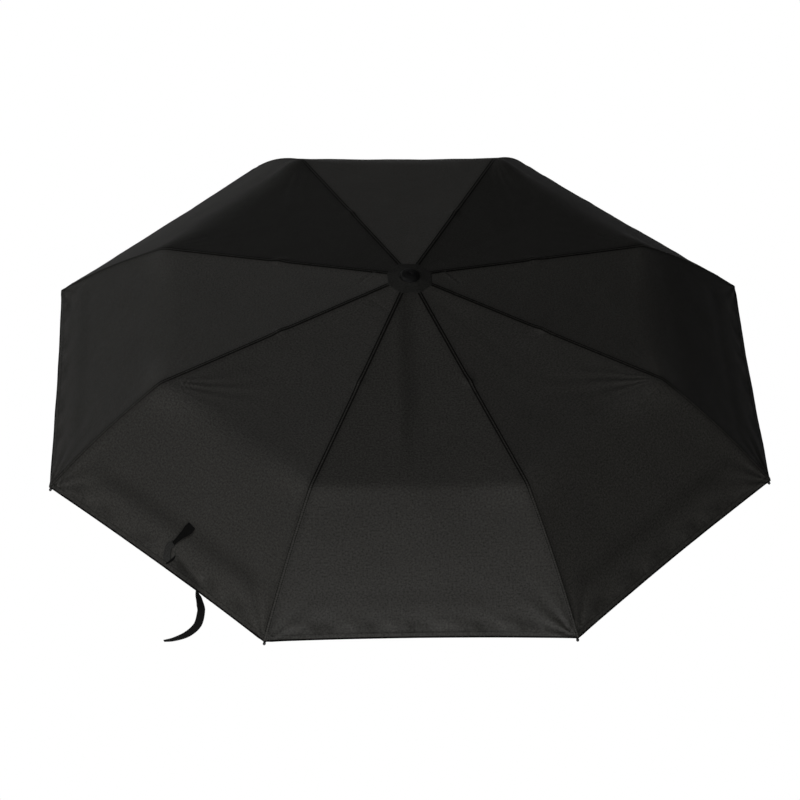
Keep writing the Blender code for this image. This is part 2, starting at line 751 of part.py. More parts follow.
def fabric_shell(profile, across, sag_share, thickness, material, name):
    """One closed shell of eight gores over a profile, which is its outer face."""
    shape = bmesh.new()
    rows = len(profile)
    columns = RIB_COUNT * across
    knee_r = ELBOW_PIVOT.x
    end_r = OUTER_END.x
    grid = []
    for place in profile:
        share = min(place.x / knee_r, 1.0)
        past_knee = max(0.0, (place.x - knee_r) / (end_r - knee_r))
        sag = GORE_SAG * share * (1 - 0.5 * past_knee) * sag_share
        hem_in = HEM_SCALLOP * past_knee * sag_share
        row = []
        for column in range(columns):
            gore, step = divmod(column, across)
            middle = rib_azimuth(gore) + HALF_GORE
            outward = Vector((math.cos(middle), math.sin(middle), 0))
            tangent = Vector((-math.sin(middle), math.cos(middle), 0))
            v = 2 * step / across - 1
            row.append(shape.verts.new(gore_point(place, v, outward, tangent, sag, hem_in)))
        grid.append(row)
    for i in range(rows - 1):
        for j in range(columns):
            k = (j + 1) % columns
            shape.faces.new((grid[i][j], grid[i + 1][j], grid[i + 1][k], grid[i][k]))
    mesh = bpy.data.meshes.new(name)
    shape.to_mesh(mesh)
    shape.free()
    shell = make_object(name, mesh)
    solidify = shell.modifiers.new("Solidify", "SOLIDIFY")
    solidify.thickness = thickness
    solidify.offset = -1.0
    solidify.use_even_offset = True
    return finish(bake(shell), name, material)


def build_canopy(fabric, patch_fabric, webbing):
    profile = fabric_profile()
    fabric_shell(profile, 4, 1.0, FABRIC_T, fabric, "canopy")

    patch_lift = 0.7 * MM
    patch = [Vector((p.x, p.y + patch_lift)) for p in profile[:4]]
    fabric_shell(patch, 2, 1.0, 0.4 * MM, patch_fabric, "crown_patch")

    # the tie strap is sewn to one gore near its hem, lies over the hem and hangs down
    strap_side, strap_half, strap_t = 62 * MM, 6 * MM, 0.8 * MM
    hem, upper = profile[-1], profile[-2]
    down = (hem - upper).normalized()
    shrink = math.cos(HALF_GORE)
    slope_dir = Vector((down.x * shrink, down.y)).normalized()
    normal = Vector((-slope_dir.y, slope_dir.x))
    edge = Vector((hem.x * shrink - HEM_SCALLOP * 0.85, hem.y)) + normal * 1.6 * MM
    path = [edge - slope_dir * 45 * MM, edge - slope_dir * 20 * MM, edge + slope_dir * 3 * MM]
    turn = edge + slope_dir * 5 * MM
    path += [turn + Vector((3 * MM, -6 * MM)), turn + Vector((5 * MM, -40 * MM)), turn + Vector((-4 * MM, -92 * MM))]
    strap = flat_outline(strip_outline([tuple(p) for p in path], strap_t), strap_half)
    middle = rib_azimuth(4) + HALF_GORE
    strap.rotation_euler.z = middle
    strap.location = (-math.sin(middle) * strap_side, math.cos(middle) * strap_side, 0.0)
    finish(strap, "tie_strap", webbing)


# --- build --------------------------------------------------------------------------------------
clear_scene()
PARTS = part_collection()
BLACK_FABRIC = make_material("canopy_fabric", (0.021, 0.021, 0.019), 0.75)
PATCH_FABRIC = make_material("patch_fabric", (0.012, 0.012, 0.011), 0.8)
WEBBING = make_material("strap_webbing", (0.012, 0.012, 0.012), 0.85)
BLACK_PLASTIC = make_material("black_plastic", (0.014, 0.014, 0.015), 0.45)
GLOSS_PLASTIC = make_material("gloss_plastic", (0.010, 0.010, 0.011), 0.25)
GRIP_RUBBER = make_material("grip_rubber", (0.018, 0.018, 0.019), 0.7)
CORD = make_material("cord", (0.014, 0.014, 0.014), 0.9)
BLACK_STEEL = make_material("black_steel", (0.025, 0.025, 0.027), 0.38, 0.9)
BRIGHT_STEEL = make_material("bright_steel", (0.55, 0.55, 0.56), 0.3, 1.0)
ALUMINIUM = make_material("rib_aluminium", (0.62, 0.63, 0.65), 0.35, 1.0)

build_grip(BLACK_PLASTIC, GRIP_RUBBER, BRIGHT_STEEL, CORD)
build_shaft(BLACK_STEEL, BRIGHT_STEEL)
build_crown(BLACK_PLASTIC, BRIGHT_STEEL, GLOSS_PLASTIC)
build_runner(BLACK_PLASTIC, GLOSS_PLASTIC)
build_ribs(BLACK_STEEL, ALUMINIUM, BLACK_PLASTIC)
build_canopy(BLACK_FABRIC, PATCH_FABRIC, WEBBING)
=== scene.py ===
"""The looks of a black folding umbrella: cloth canopy, seams, strap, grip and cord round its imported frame.

Metres, +Z up, the origin at the centre of the grip's flat end. The canopy is worked out as one smooth
surface, gore by gore, and then parted along the ribs' joints, so that each piece folds with its own rib.
"""

import json
import math

import bmesh
import bpy
import numpy as np
from mathutils import Matrix, Vector


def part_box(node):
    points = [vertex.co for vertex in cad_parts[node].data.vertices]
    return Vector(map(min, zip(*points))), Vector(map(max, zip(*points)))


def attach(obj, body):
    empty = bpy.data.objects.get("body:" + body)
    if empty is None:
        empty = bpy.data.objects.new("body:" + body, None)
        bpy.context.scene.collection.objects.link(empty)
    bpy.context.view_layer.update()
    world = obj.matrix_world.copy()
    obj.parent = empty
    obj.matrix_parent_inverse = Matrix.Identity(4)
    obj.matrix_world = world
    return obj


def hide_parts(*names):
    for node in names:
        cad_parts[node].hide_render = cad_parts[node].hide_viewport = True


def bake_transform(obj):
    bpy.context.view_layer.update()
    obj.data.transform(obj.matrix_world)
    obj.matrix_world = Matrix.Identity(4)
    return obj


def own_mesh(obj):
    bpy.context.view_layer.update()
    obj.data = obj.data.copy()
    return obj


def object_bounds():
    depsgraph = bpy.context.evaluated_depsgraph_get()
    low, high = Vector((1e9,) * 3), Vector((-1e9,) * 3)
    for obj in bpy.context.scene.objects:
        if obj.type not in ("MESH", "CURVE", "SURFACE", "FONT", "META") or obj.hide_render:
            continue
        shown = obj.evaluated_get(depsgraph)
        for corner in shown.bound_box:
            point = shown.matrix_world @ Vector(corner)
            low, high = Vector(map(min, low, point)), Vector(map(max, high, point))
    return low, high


MM = 0.001
RIBS = 8
FIRST_RIB = math.radians(22.5)
PITCH = math.tau / RIBS
HALF = PITCH / 2

# the cloth over the ribs: heights are above the ribs' centre lines
LIFT = 2.9 * MM
KNEE_RISE = 3.0 * MM  # the knee's pivot above the ribs' centre lines
ELBOW_DROP = 2.2 * MM  # the elbow's pivot below the middle rib's centre line
ELBOW_RISE = 2.0 * MM  # the outer rib's centre line above the same pivot
ROD_R = 1.25 * MM
KNEE_BUMP = 2.0 * MM
KNEE_BUMP_LENGTH = 8 * MM
CLOTH = 0.45 * MM
START_R = 12.5 * MM
HEM_SHORT = 3.2 * MM
SCALLOP = 3.5 * MM
SAG = 3.2 * MM
CORNER_AT_RIB = 4.5 * MM
CORNER_AT_MIDDLE = (30 * MM, 14 * MM, 30 * MM, 26 * MM, 16 * MM, 7 * MM, 16 * MM, 26 * MM)  # by gore
SLANT = 0.95  # distance square to a rib per unit of distance across the gore, about

# the camera of the reference view, in canopy radii about the middle of the rib tips
CAMERA_AZIMUTH = math.radians(-3.75)
CAMERA_ELEVATION = math.radians(42.78)
CAMERA_ROLL = math.radians(2.1)
CAMERA_DISTANCE = 8.1
CAMERA_SHIFT = (-0.0146, -0.038)
CAMERA_LENS = 137.6
SENSOR = 36.0

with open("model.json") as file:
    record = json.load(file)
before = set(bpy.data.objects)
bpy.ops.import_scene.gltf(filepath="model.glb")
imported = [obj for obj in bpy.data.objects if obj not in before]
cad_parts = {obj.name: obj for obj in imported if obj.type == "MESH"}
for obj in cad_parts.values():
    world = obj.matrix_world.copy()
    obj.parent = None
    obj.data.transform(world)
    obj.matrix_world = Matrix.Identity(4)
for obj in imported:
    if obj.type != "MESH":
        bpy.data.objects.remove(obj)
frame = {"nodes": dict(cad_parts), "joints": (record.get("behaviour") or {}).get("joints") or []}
cad_low, cad_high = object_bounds()
JOINTS = {joint["name"]: joint for joint in frame["joints"]}


# --- the frame's measures ---
def along(slope):
    """The unit vector down a slope, in a rib's own plane."""
    return Vector((math.cos(slope), -math.sin(slope)))


def above(slope):
    """The unit vector square to a slope, upwards."""
    return Vector((math.sin(slope), math.cos(slope)))


def slope_of(start, end):
    return -math.atan2(end.y - start.y, end.x - start.x)


def pivot(name):
    """A joint's place in its rib's own plane: distance from the shaft, and height."""
    x, y, z = JOINTS[name]["pos_m"]
    return Vector((math.hypot(x, y), z))


def cad_vertices(node):
    mesh = bpy.data.objects[node].data
    points = np.empty(len(mesh.vertices) * 3)
    mesh.vertices.foreach_get("co", points)
    return points.reshape(-1, 3)


def rib_tip():
    points = cad_vertices("rib_tip_1")
    radial = np.hypot(points[:, 0], points[:, 1])
    far = points[np.argmax(radial)]
    return Vector((float(radial.max()), float(far[2])))


CROWN = pivot("crown_hinge_1")
KNEE = pivot("knee_hinge_1")
ELBOW = pivot("elbow_hinge_1")
TIP = rib_tip()

TOP_SLOPE = slope_of(CROWN, KNEE) + math.asin(KNEE_RISE / (KNEE - CROWN).length)
MIDDLE_SLOPE = slope_of(KNEE, ELBOW) - math.asin((ELBOW_DROP + KNEE_RISE) / (ELBOW - KNEE).length)
OUTER_SLOPE = slope_of(ELBOW, TIP) + math.asin(ELBOW_RISE / (TIP - ELBOW).length)


def meeting(first, first_slope, second, second_slope):
    """Where two lines down their slopes cross."""
    a, b = along(first_slope), along(second_slope)
    gap = second - first
    reach = (gap.x * b.y - gap.y * b.x) / (a.x * b.y - a.y * b.x)
    return first + a * reach


CLOTH_KNEE = KNEE + above(TOP_SLOPE) * (LIFT - KNEE_RISE)
OVER_MIDDLE = ELBOW + above(MIDDLE_SLOPE) * (ELBOW_DROP + LIFT)
OVER_OUTER = ELBOW + above(OUTER_SLOPE) * (ELBOW_RISE + LIFT)
CLOTH_ELBOW = meeting(OVER_MIDDLE, MIDDLE_SLOPE, OVER_OUTER, OUTER_SLOPE)
CLOTH_END = TIP + above(OUTER_SLOPE) * LIFT - along(OUTER_SLOPE) * HEM_SHORT
CLOTH_START = CLOTH_KNEE - along(TOP_SLOPE) * ((CLOTH_KNEE.x - START_R) / math.cos(TOP_SLOPE))

CORNERS = [CLOTH_START, CLOTH_KNEE, CLOTH_ELBOW, CLOTH_END]
S_KNEE = (CLOTH_KNEE - CLOTH_START).length
S_ELBOW = S_KNEE + (CLOTH_ELBOW - CLOTH_KNEE).length
S_HEM = S_ELBOW + (CLOTH_END - CLOTH_ELBOW).length
OUTER_RUN = S_HEM - S_ELBOW


def outer_bow():
    """How high the outer rib's rod arches over the straight line between its ends."""
    points = cad_vertices("outer_rib_1")
    in_plane = np.stack([np.hypot(points[:, 0], points[:, 1]) - TIP.x, points[:, 2] - TIP.y], axis=-1)
    return float((in_plane @ np.array(above(OUTER_SLOPE))).max()) - ROD_R


BOW = outer_bow()


def gore_basis(gore):
    """Outward and sideways unit vectors at the middle of a gore. Gore n is between ribs n + 1 and n + 2."""
    middle = FIRST_RIB + gore * PITCH + HALF
    outward = np.array([math.cos(middle), math.sin(middle), 0.0])
    sideways = np.array([-math.sin(middle), math.cos(middle), 0.0])
    return outward, sideways


# --- the canopy's surface ---
def profile(s, window):
    """(r, z) at distance s along the rib, with the corners rounded over a window either way."""
    reach = 80 * MM
    points = [CORNERS[0] - (CORNERS[1] - CORNERS[0]).normalized() * reach]
    points += CORNERS
    points += [CORNERS[3] + (CORNERS[3] - CORNERS[2]).normalized() * reach]
    stations = [-reach, 0.0, S_KNEE, S_ELBOW, S_HEM, S_HEM + reach]
    shares = np.linspace(-1, 1, 15)
    samples = s[..., None] + window[..., None] * shares
    r = np.interp(samples, stations, [p.x for p in points])
    z = np.interp(samples, stations, [p.y for p in points])
    out = np.clip((samples - S_ELBOW) / (OUTER_RUN + HEM_SHORT), 0, 1)
    arch = 4 * BOW * out * (1 - out)
    up = above(OUTER_SLOPE)
    return (r + arch * up.x).mean(axis=-1), (z + arch * up.y).mean(axis=-1)


def bell(x, width):
    return np.exp(-((x / width) ** 2))


def ridge(x, shape):
    height, place, width = shape
    return height * bell(x - place, width)


def ease(x, low, high):
    t = np.clip((x - low) / (high - low), 0, 1)
    return t * t * (3 - 2 * t)


def ripples(x, y, seed, scale):
    """A smooth, repeatable unevenness about 0, from a few crossed waves."""
    total = np.zeros_like(x)
    for k in range(6):
        angle = seed * 1.7 + k * 2.399
        pitch = scale * (0.7 + 0.22 * k)
        phase = seed * 5.1 + k * 1.3
        total += np.sin((x * math.cos(angle) + y * math.sin(angle)) * math.tau / pitch + phase)
    return total / 6


STRAP_GORE = 4
STRAP_RIB = 6
STRAP_SIDE = 68 * MM  # where the loose end leaves the hem, towards rib 6 from the gore's middle

CREASED_GORE = 5  # the gore whose middle has been folded hardest
CREASE_SIDE = -5 * MM  # how far that fold lies from the gore's middle
CROWN_WEDGE = {3: -1, 7: 1}  # gores with a fold beside the crown, and the side it starts from

# how strongly each gore shows its centre crease, the crease across it near the crown, the soft band above
# its hem and its hem's waves
GORE_CREASE = (0.25, 0.25, 0.25, 0.2, 0.2, 0.8, 0.2, 0.2)
GORE_PACKED = (0.4, 0.3, 0.4, 0.3, 1.0, 0.4, 1.0, 0.3)
GORE_BAND = (0.35, 0.3, 0.2, 0.35, 0.85, 0.2, 0.6, 0.4)
GORE_WAVES = (0.7, 0.6, 0.5, 0.7, 0.8, 1.0, 0.9, 0.6)
TROUGH_SHADE = 150.0  # share of tone lost per metre of a trough's depth
SHADED_DEPTHS = (-3 * MM, 0.9 * MM)  # deeper and higher than this, the tone doesn't change
# painted light and shade: some panels' colour is made lighter and others darker for how light falls on them,
# with painted sheen on the back-left gore's outer part
# how light each panel looks in the photo: a factor for the whole gore, and one more for its outer part
GORE_PAINTED_LIGHT = (0.65, 1.2, 0.5, 1.07, 0.91, 0.88, 1.0, 1.08)
OUTER_PAINTED_LIGHT = (0.95, 1.0, 1.75, 1.0, 1.1, 1.0, 1.0, 0.62)
# how much loose cloth stands over the elbow at each gore's first rib and second rib, and how creased it is
FIRST_PUFF = (0.5, 0.2, 1.1, 0.3, 0.5, 0.15, 0.3, 0.25)
SECOND_PUFF = (1.2, 0.2, 0.5, 0.3, 0.3, 0.15, 0.6, 0.25)
FIRST_FOLDS = (0.2, 0.1, 0.3, 0.15, 1.0, 0.1, 0.2, 0.2)
SECOND_FOLDS = (0.3, 0.1, 0.2, 0.2, 0.2, 0.15, 1.1, 0.15)

# the folds' own measures: (height, place, width) of each rounded ridge or trough
CENTRE_GROOVE = (0.6 * MM, 0, 7 * MM)
CENTRE_SWELL = (0.25 * MM, 14 * MM, 7 * MM)
PACKED_CREASE = (0.7 * MM, 50 * MM, 2.6 * MM)
PACKED_WIDTH = 30 * MM
WEDGE_AT = 34 * MM  # where the wedge's fold meets its rib, from the crown
WEDGE_RUN = 22 * MM
WEDGE_RIDGE = (0.6 * MM, -4 * MM, 3.5 * MM)
WEDGE_TROUGH = (0.8 * MM, 0, 2.4 * MM)
BAND_RIDGE = (0.8 * MM, 32 * MM, 13 * MM)
BAND_TROUGH = (1.7 * MM, 54 * MM, 12 * MM)
HEM_WAVE = (1.0 * MM, 18 * MM, 8 * MM)
HEM_PUCKER = (0.26 * MM, 11 * MM, 6 * MM)
WAVE_PITCH = 58 * MM
PUCKER_PITCH = 17 * MM
HEM_FOLD = 0.3 * MM
TUCK_HEIGHT = 1.3 * MM
TUCK_REACH = 38 * MM
TUCK_TURNS = 12
PUFF_HEIGHT = 4.2 * MM
PUFF_REACH = 18 * MM
FAN_HEIGHT = 1.8 * MM
FAN_MIDDLE = -0.8  # radians from square to the rib, towards the crown
FAN_SPREAD = 0.36
FAN_REACH = 48 * MM
FAN_TURNS = 22
DENT_RIDGE = (1.2 * MM, 12 * MM, 6 * MM)
DENT_TROUGH = (2.6 * MM, 0, 6 * MM)
LONG_RIPPLE = 0.75 * MM
SHORT_RIPPLE = 0.16 * MM

# how far apart the surface is sampled for its slope: the plain one, then the one with its folds
PLAIN_STEP = 0.5 * MM
PLAIN_TURN = 0.002
NORMAL_STEP = 0.7 * MM


def hem_station(v):
    """The cloth's edge is scooped a little between the tips."""
    return S_HEM - SCALLOP * (1 - v * v)


def storage_creases(gore, s, across):
    """A soft crease down the gore's middle, a low swelling each side of it, and one that crosses it."""
    upper = ease(s, 14 * MM, 45 * MM) * (1 - 0.75 * ease(s - S_ELBOW, -90 * MM, 10 * MM))
    if gore == CREASED_GORE:
        across = across - CREASE_SIDE
    proud = ridge(np.abs(across), CENTRE_SWELL) - ridge(across, CENTRE_GROOVE)
    packed = GORE_PACKED[gore] * ridge(s, PACKED_CREASE) * bell(across, PACKED_WIDTH)
    return GORE_CREASE[gore] * upper * proud - packed


def crown_wedge(gore, s, v):
    """A fold that leaves one rib of a side gore and runs to the gore's middle beside the crown."""
    side = CROWN_WEDGE.get(gore)
    if side is None:
        return np.zeros_like(s)
    line = s - (WEDGE_AT + WEDGE_RUN * (1 - side * v))
    reach = ease(side * v, 1.25, 0.95) * ease(side * v, -0.15, 0.1)
    return reach * (ridge(line, WEDGE_RIDGE) - ridge(line, WEDGE_TROUGH))


def hem_relief(gore, s, across, from_rib, from_hem):
    """A trough that follows the hem, waves just above the stitching, and the folded edge itself."""
    inner = ease(from_rib, 4 * MM, 50 * MM)
    band = ridge(from_hem, BAND_RIDGE) - ridge(from_hem, BAND_TROUGH)
    drift = 3.0 * ripples(across, s, gore + 3.3, 150 * MM)
    wave = np.sin(across * math.tau / WAVE_PITCH + gore * 2.1 + drift)
    pucker = np.sin(across * math.tau / PUCKER_PITCH + gore + 2 * drift)
    waves = wave * ridge(from_hem, HEM_WAVE) + pucker * ridge(from_hem, HEM_PUCKER)
    fold = HEM_FOLD * (1 - ease(from_hem, 6.5 * MM, 8 * MM))
    return GORE_BAND[gore] * band * inner + GORE_WAVES[gore] * waves * ease(from_rib, 0, 20 * MM) + fold


def tip_tucks(gore, s, v, r):
    """Tucks that fan out from each tip."""
    out = np.zeros_like(s)
    for side in (-1, 1):
        dx = r * math.sin(HALF) * (1 - side * v)
        dy = np.maximum(S_HEM - s, 0)
        distance = np.hypot(dx, dy)
        turn = np.arctan2(dx, dy + 1 * MM)
        fade = np.exp(-distance / TUCK_REACH) * ease(distance, 1 * MM, 10 * MM)
        wave = np.sin(turn * TUCK_TURNS + gore * 1.9 + side)
        out = out + TUCK_HEIGHT * fade * wave * ease(dx, 0, 7 * MM)
    return out


def elbow_relief(gore, s, v, from_rib):
    """Loose cloth beside the elbows: it puffs up a little, and turns over in small folds."""
    past = s - S_ELBOW
    second = ease(v, -0.3, 0.3)
    puff = FIRST_PUFF[gore] * (1 - second) + SECOND_PUFF[gore] * second
    creased = FIRST_FOLDS[gore] * (1 - second) + SECOND_FOLDS[gore] * second
    reach = from_rib / PUFF_REACH
    lobe = reach * np.exp(1 - reach) * bell(past - 2 * MM, 24 * MM)
    away = np.hypot(from_rib, past)
    turn = np.arctan2(past, from_rib + 2 * MM)
    fan = bell(turn - FAN_MIDDLE, FAN_SPREAD) * ease(away, 10 * MM, 44 * MM) * np.exp(-away / FAN_REACH)
    wave = np.sin(turn * FAN_TURNS + 2 * ripples(from_rib, past, gore + 4.1, 70 * MM))
    return PUFF_HEIGHT * puff * lobe + FAN_HEIGHT * creased * fan * wave


def strap_dent(s, across, from_hem):
    """The tie strap runs under the hem and draws a shallow groove in its gore."""
    run = ease(across, 15 * MM, 30 * MM) * (1 - ease(across, 62 * MM, 78 * MM))
    line = from_hem - 15 * MM + 0.2 * (across - 24 * MM)
    return run * (ridge(line, DENT_RIDGE) - ridge(line, DENT_TROUGH))


def folds(gore, s, v, r):
    """The folds, tucks and waves of one gore's cloth."""
    across = r * math.sin(HALF) * v
    from_rib = distance_from_rib(r, v)
    from_hem = hem_station(v) - s
    out = crown_wedge(gore, s, v) + hem_relief(gore, s, across, from_rib, from_hem)
    out = out + tip_tucks(gore, s, v, r) + elbow_relief(gore, s, v, from_rib)
    if gore == STRAP_GORE:
        out = out + strap_dent(s, across, from_hem)
    return out


def relief(gore, s, v, r):
    """How far the cloth stands proud of the plain surface, along its normal."""
    across = r * math.sin(HALF) * v
    from_rib = distance_from_rib(r, v)
    free = ease(from_rib, 2 * MM, 45 * MM)
    out = KNEE_BUMP * bell(s - S_KNEE, KNEE_BUMP_LENGTH) * bell(from_rib, 6 * MM)
    out = out + LONG_RIPPLE * ripples(across, s, gore + 1.3, 85 * MM) * free
    out = out + SHORT_RIPPLE * ripples(across, s, gore + 7.9, 24 * MM) * ease(from_rib, 1 * MM, 14 * MM)
    return out + storage_creases(gore, s, across) + folds(gore, s, v, r)


def shading(gore, s, v, r):
    """A factor painted into the cloth's colour: painted shade in the troughs between folds and painted light
    on the crests, times each panel's painted light and shade.
    """
    depth = np.clip(folds(gore, s, v, r), *SHADED_DEPTHS)
    # painted light and shade for the whole panel, and more for its outer part
    outer = 1 + (OUTER_PAINTED_LIGHT[gore] - 1) * ease(s, S_ELBOW - 25 * MM, S_ELBOW + 65 * MM)
    # painted shade in troughs, painted light on crests
    return GORE_PAINTED_LIGHT[gore] * outer * (1 + TROUGH_SHADE * depth)


def distance_from_rib(r, v):
    return r * math.sin(HALF) * (1 - np.abs(v)) * SLANT


def plain_surface(gore, s, v):
    softer = (CORNER_AT_MIDDLE[gore] - CORNER_AT_RIB) * (1 - v * v)
    window = CORNER_AT_RIB + softer * ease(s, S_KNEE, S_ELBOW - 30 * MM)
    r, z = profile(s, window)
    outward, sideways = gore_basis(gore)
    share = np.clip(r / ELBOW.x, 0, 1) * (1 - 0.6 * ease(s, S_ELBOW, S_HEM))
    z = z - SAG * share * (1 - v * v)
    flat = outward * (r * math.cos(HALF))[..., None] + sideways * (r * math.sin(HALF) * v)[..., None]
    flat[..., 2] = z
    return flat, r


def surface(gore, s, v):
    """Points on the cloth's outer face. v is -1 on rib gore + 1 and 1 on rib gore + 2."""
    points, r = plain_surface(gore, s, v)
    ds = plain_surface(gore, s + PLAIN_STEP, v)[0] - plain_surface(gore, s - PLAIN_STEP, v)[0]
    dv = plain_surface(gore, s, v + PLAIN_TURN)[0] - plain_surface(gore, s, v - PLAIN_TURN)[0]
    normal = np.cross(ds, dv)
    normal /= np.linalg.norm(normal, axis=-1, keepdims=True)
    return points + normal * relief(gore, s, v, r)[..., None]


def surface_with_normals(gore, s, v):
    half_width = np.maximum(s, 20 * MM) * math.sin(HALF) + 12 * MM
    turn = NORMAL_STEP / half_width
    ds = surface(gore, s + NORMAL_STEP, v) - surface(gore, s - NORMAL_STEP, v)
    inside = np.clip(v, -1 + turn, 1 - turn)
    dv = surface(gore, s, inside + turn) - surface(gore, s, inside - turn)
    normal = np.cross(ds, dv)
    normal /= np.linalg.norm(normal, axis=-1, keepdims=True)
    return surface(gore, s, v), normal


# --- mesh building ---
def slab(name, outer, normals, thickness, cyclic=False, **layers):
    """A closed sheet: an outer grid, an inner one a thickness below it, and walls round the edge.

    The outer face keeps the normals it is given, so sheets that meet at a cut shade as one. Each layer is a
    grid of pairs of numbers for the material."""
    rows, columns = outer.shape[:2]
    inner = outer - normals * thickness
    points = np.concatenate([outer.reshape(-1, 3), inner.reshape(-1, 3)])
    count = rows * columns

    def at(i, j, layer=0):
        return layer * count + i * columns + j % columns

    last = columns if cyclic else columns - 1
    faces = []
    for i in range(rows - 1):
        for j in range(last):
            faces.append((at(i, j), at(i + 1, j), at(i + 1, j + 1), at(i, j + 1)))
    outer_faces = len(faces)
    faces += [tuple(k + count for k in reversed(face)) for face in faces]
    for j in range(last):
        faces.append((at(0, j, 1), at(0, j), at(0, j + 1), at(0, j + 1, 1)))
        end = rows - 1
        faces.append((at(end, j), at(end, j, 1), at(end, j + 1, 1), at(end, j + 1)))
    if not cyclic:
        for i in range(rows - 1):
            end = columns - 1
            faces.append((at(i, 0), at(i, 0, 1), at(i + 1, 0, 1), at(i + 1, 0)))
            faces.append((at(i, end, 1), at(i, end), at(i + 1, end), at(i + 1, end, 1)))

    mesh = bpy.data.meshes.new(name)
    mesh.from_pydata(points.tolist(), [], faces)
    mesh.update()
    mesh.polygons.foreach_set("use_smooth", [True] * len(faces))

    vertex_of_loop = np.empty(len(mesh.loops), int)
    mesh.loops.foreach_get("vertex_index", vertex_of_loop)
    both = np.concatenate([normals.reshape(-1, 3), -normals.reshape(-1, 3)])
    loop_normals = both[vertex_of_loop]
    flat = np.empty(len(faces) * 3)
    mesh.polygons.foreach_get("normal", flat)
    wall_start = outer_faces * 2 * 4
    loop_normals[wall_start:] = np.repeat(flat.reshape(-1, 3)[outer_faces * 2 :], 4, axis=0)

    for label, grid in layers.items():
        two_sided = np.concatenate([grid.reshape(-1, 2), grid.reshape(-1, 2)])
        uv = mesh.uv_layers.new(name=label)
        uv.data.foreach_set("uv", two_sided[vertex_of_loop].astype(np.float32).ravel())
    mesh.normals_split_custom_set(loop_normals.tolist())
    obj = bpy.data.objects.new(name, mesh)
    bpy.context.scene.collection.objects.link(obj)
    return obj


def turned(name, outline, steps):
    """A closed sleeve about Z, turned from the outline of its wall in (r, z) points."""
    shape = bmesh.new()
    turns = [k * math.tau / steps for k in range(steps)]
    rings = []
    for r, z in outline:
        rings.append([shape.verts.new((r * math.cos(a), r * math.sin(a), z)) for a in turns])
    for low, high in zip(rings, rings[1:] + rings[:1]):
        for k in range(steps):
            after = (k + 1) % steps
            shape.faces.new((low[k], high[k], high[after], low[after]))
    bmesh.ops.recalc_face_normals(shape, faces=shape.faces)
    mesh = bpy.data.meshes.new(name)
    shape.to_mesh(mesh)
    shape.free()
    mesh.shade_smooth()
    mesh.set_sharp_from_angle(angle=math.radians(40))
    obj = bpy.data.objects.new(name, mesh)
    bpy.context.scene.collection.objects.link(obj)
    return obj


# --- materials ---
class Nodes:
    """A short way to write a material's node tree."""

    def __init__(self, name):
        self.material = bpy.data.materials.new(name)
        self.material.use_nodes = True
        self.tree = self.material.node_tree
        self.shader = self.tree.nodes["Principled BSDF"]

    def add(self, kind, inputs=None, **settings):
        node = self.tree.nodes.new(kind)
        for key, value in settings.items():
            setattr(node, key, value)
        for key, value in (inputs or {}).items():
            self.set(node, key, value)
        return node

    def set(self, node, key, value):
        if isinstance(value, bpy.types.NodeSocket):
            self.tree.links.new(value, node.inputs[key])
        else:
            node.inputs[key].default_value = value

    def shade(self, **inputs):
        for key, value in inputs.items():
            self.set(self.shader, key.replace("_", " "), value)

    def math(self, operation, a, b=0.0):
        return self.add("ShaderNodeMath", {0: a, 1: b}, operation=operation).outputs[0]

    def split(self, vector):
        parts = self.add("ShaderNodeSeparateXYZ", {"Vector": vector})
        return parts.outputs["X"], parts.outputs["Y"]

    def noise(self, scale, detail, vector):
        inputs = {"Scale": scale, "Detail": detail, "Roughness": 0.55, "Vector": vector}
        return self.add("ShaderNodeTexNoise", inputs).outputs["Fac"]

    def object_space(self):
        return self.add("ShaderNodeTexCoord").outputs["Object"]

    def ramp(self, value, low, high, to_low, to_high):
        inputs = {"Value": value, "From Min": low, "From Max": high, "To Min": to_low, "To Max": to_high}
        return self.add("ShaderNodeMapRange", inputs).outputs["Result"]

    def tint(self, color, factor):
        """The colour times a factor."""
        scaled = self.add("ShaderNodeVectorMath", {0: color, "Scale": factor}, operation="SCALE")
        return scaled.outputs["Vector"]

    def bump(self, height, distance, strength):
        inputs = {"Height": height, "Distance": distance, "Strength": strength}
        return self.add("ShaderNodeBump", inputs).outputs["Normal"]


THREAD = 0.55 * MM
THREAD_DEPTH = 0.12 * MM
SPECKLE = 0.36
WEAVE_STEP = 0.5  # metres between the gores' places in the cloth, so that no two look alike
STREAK_DEPTH = 0.02 * MM


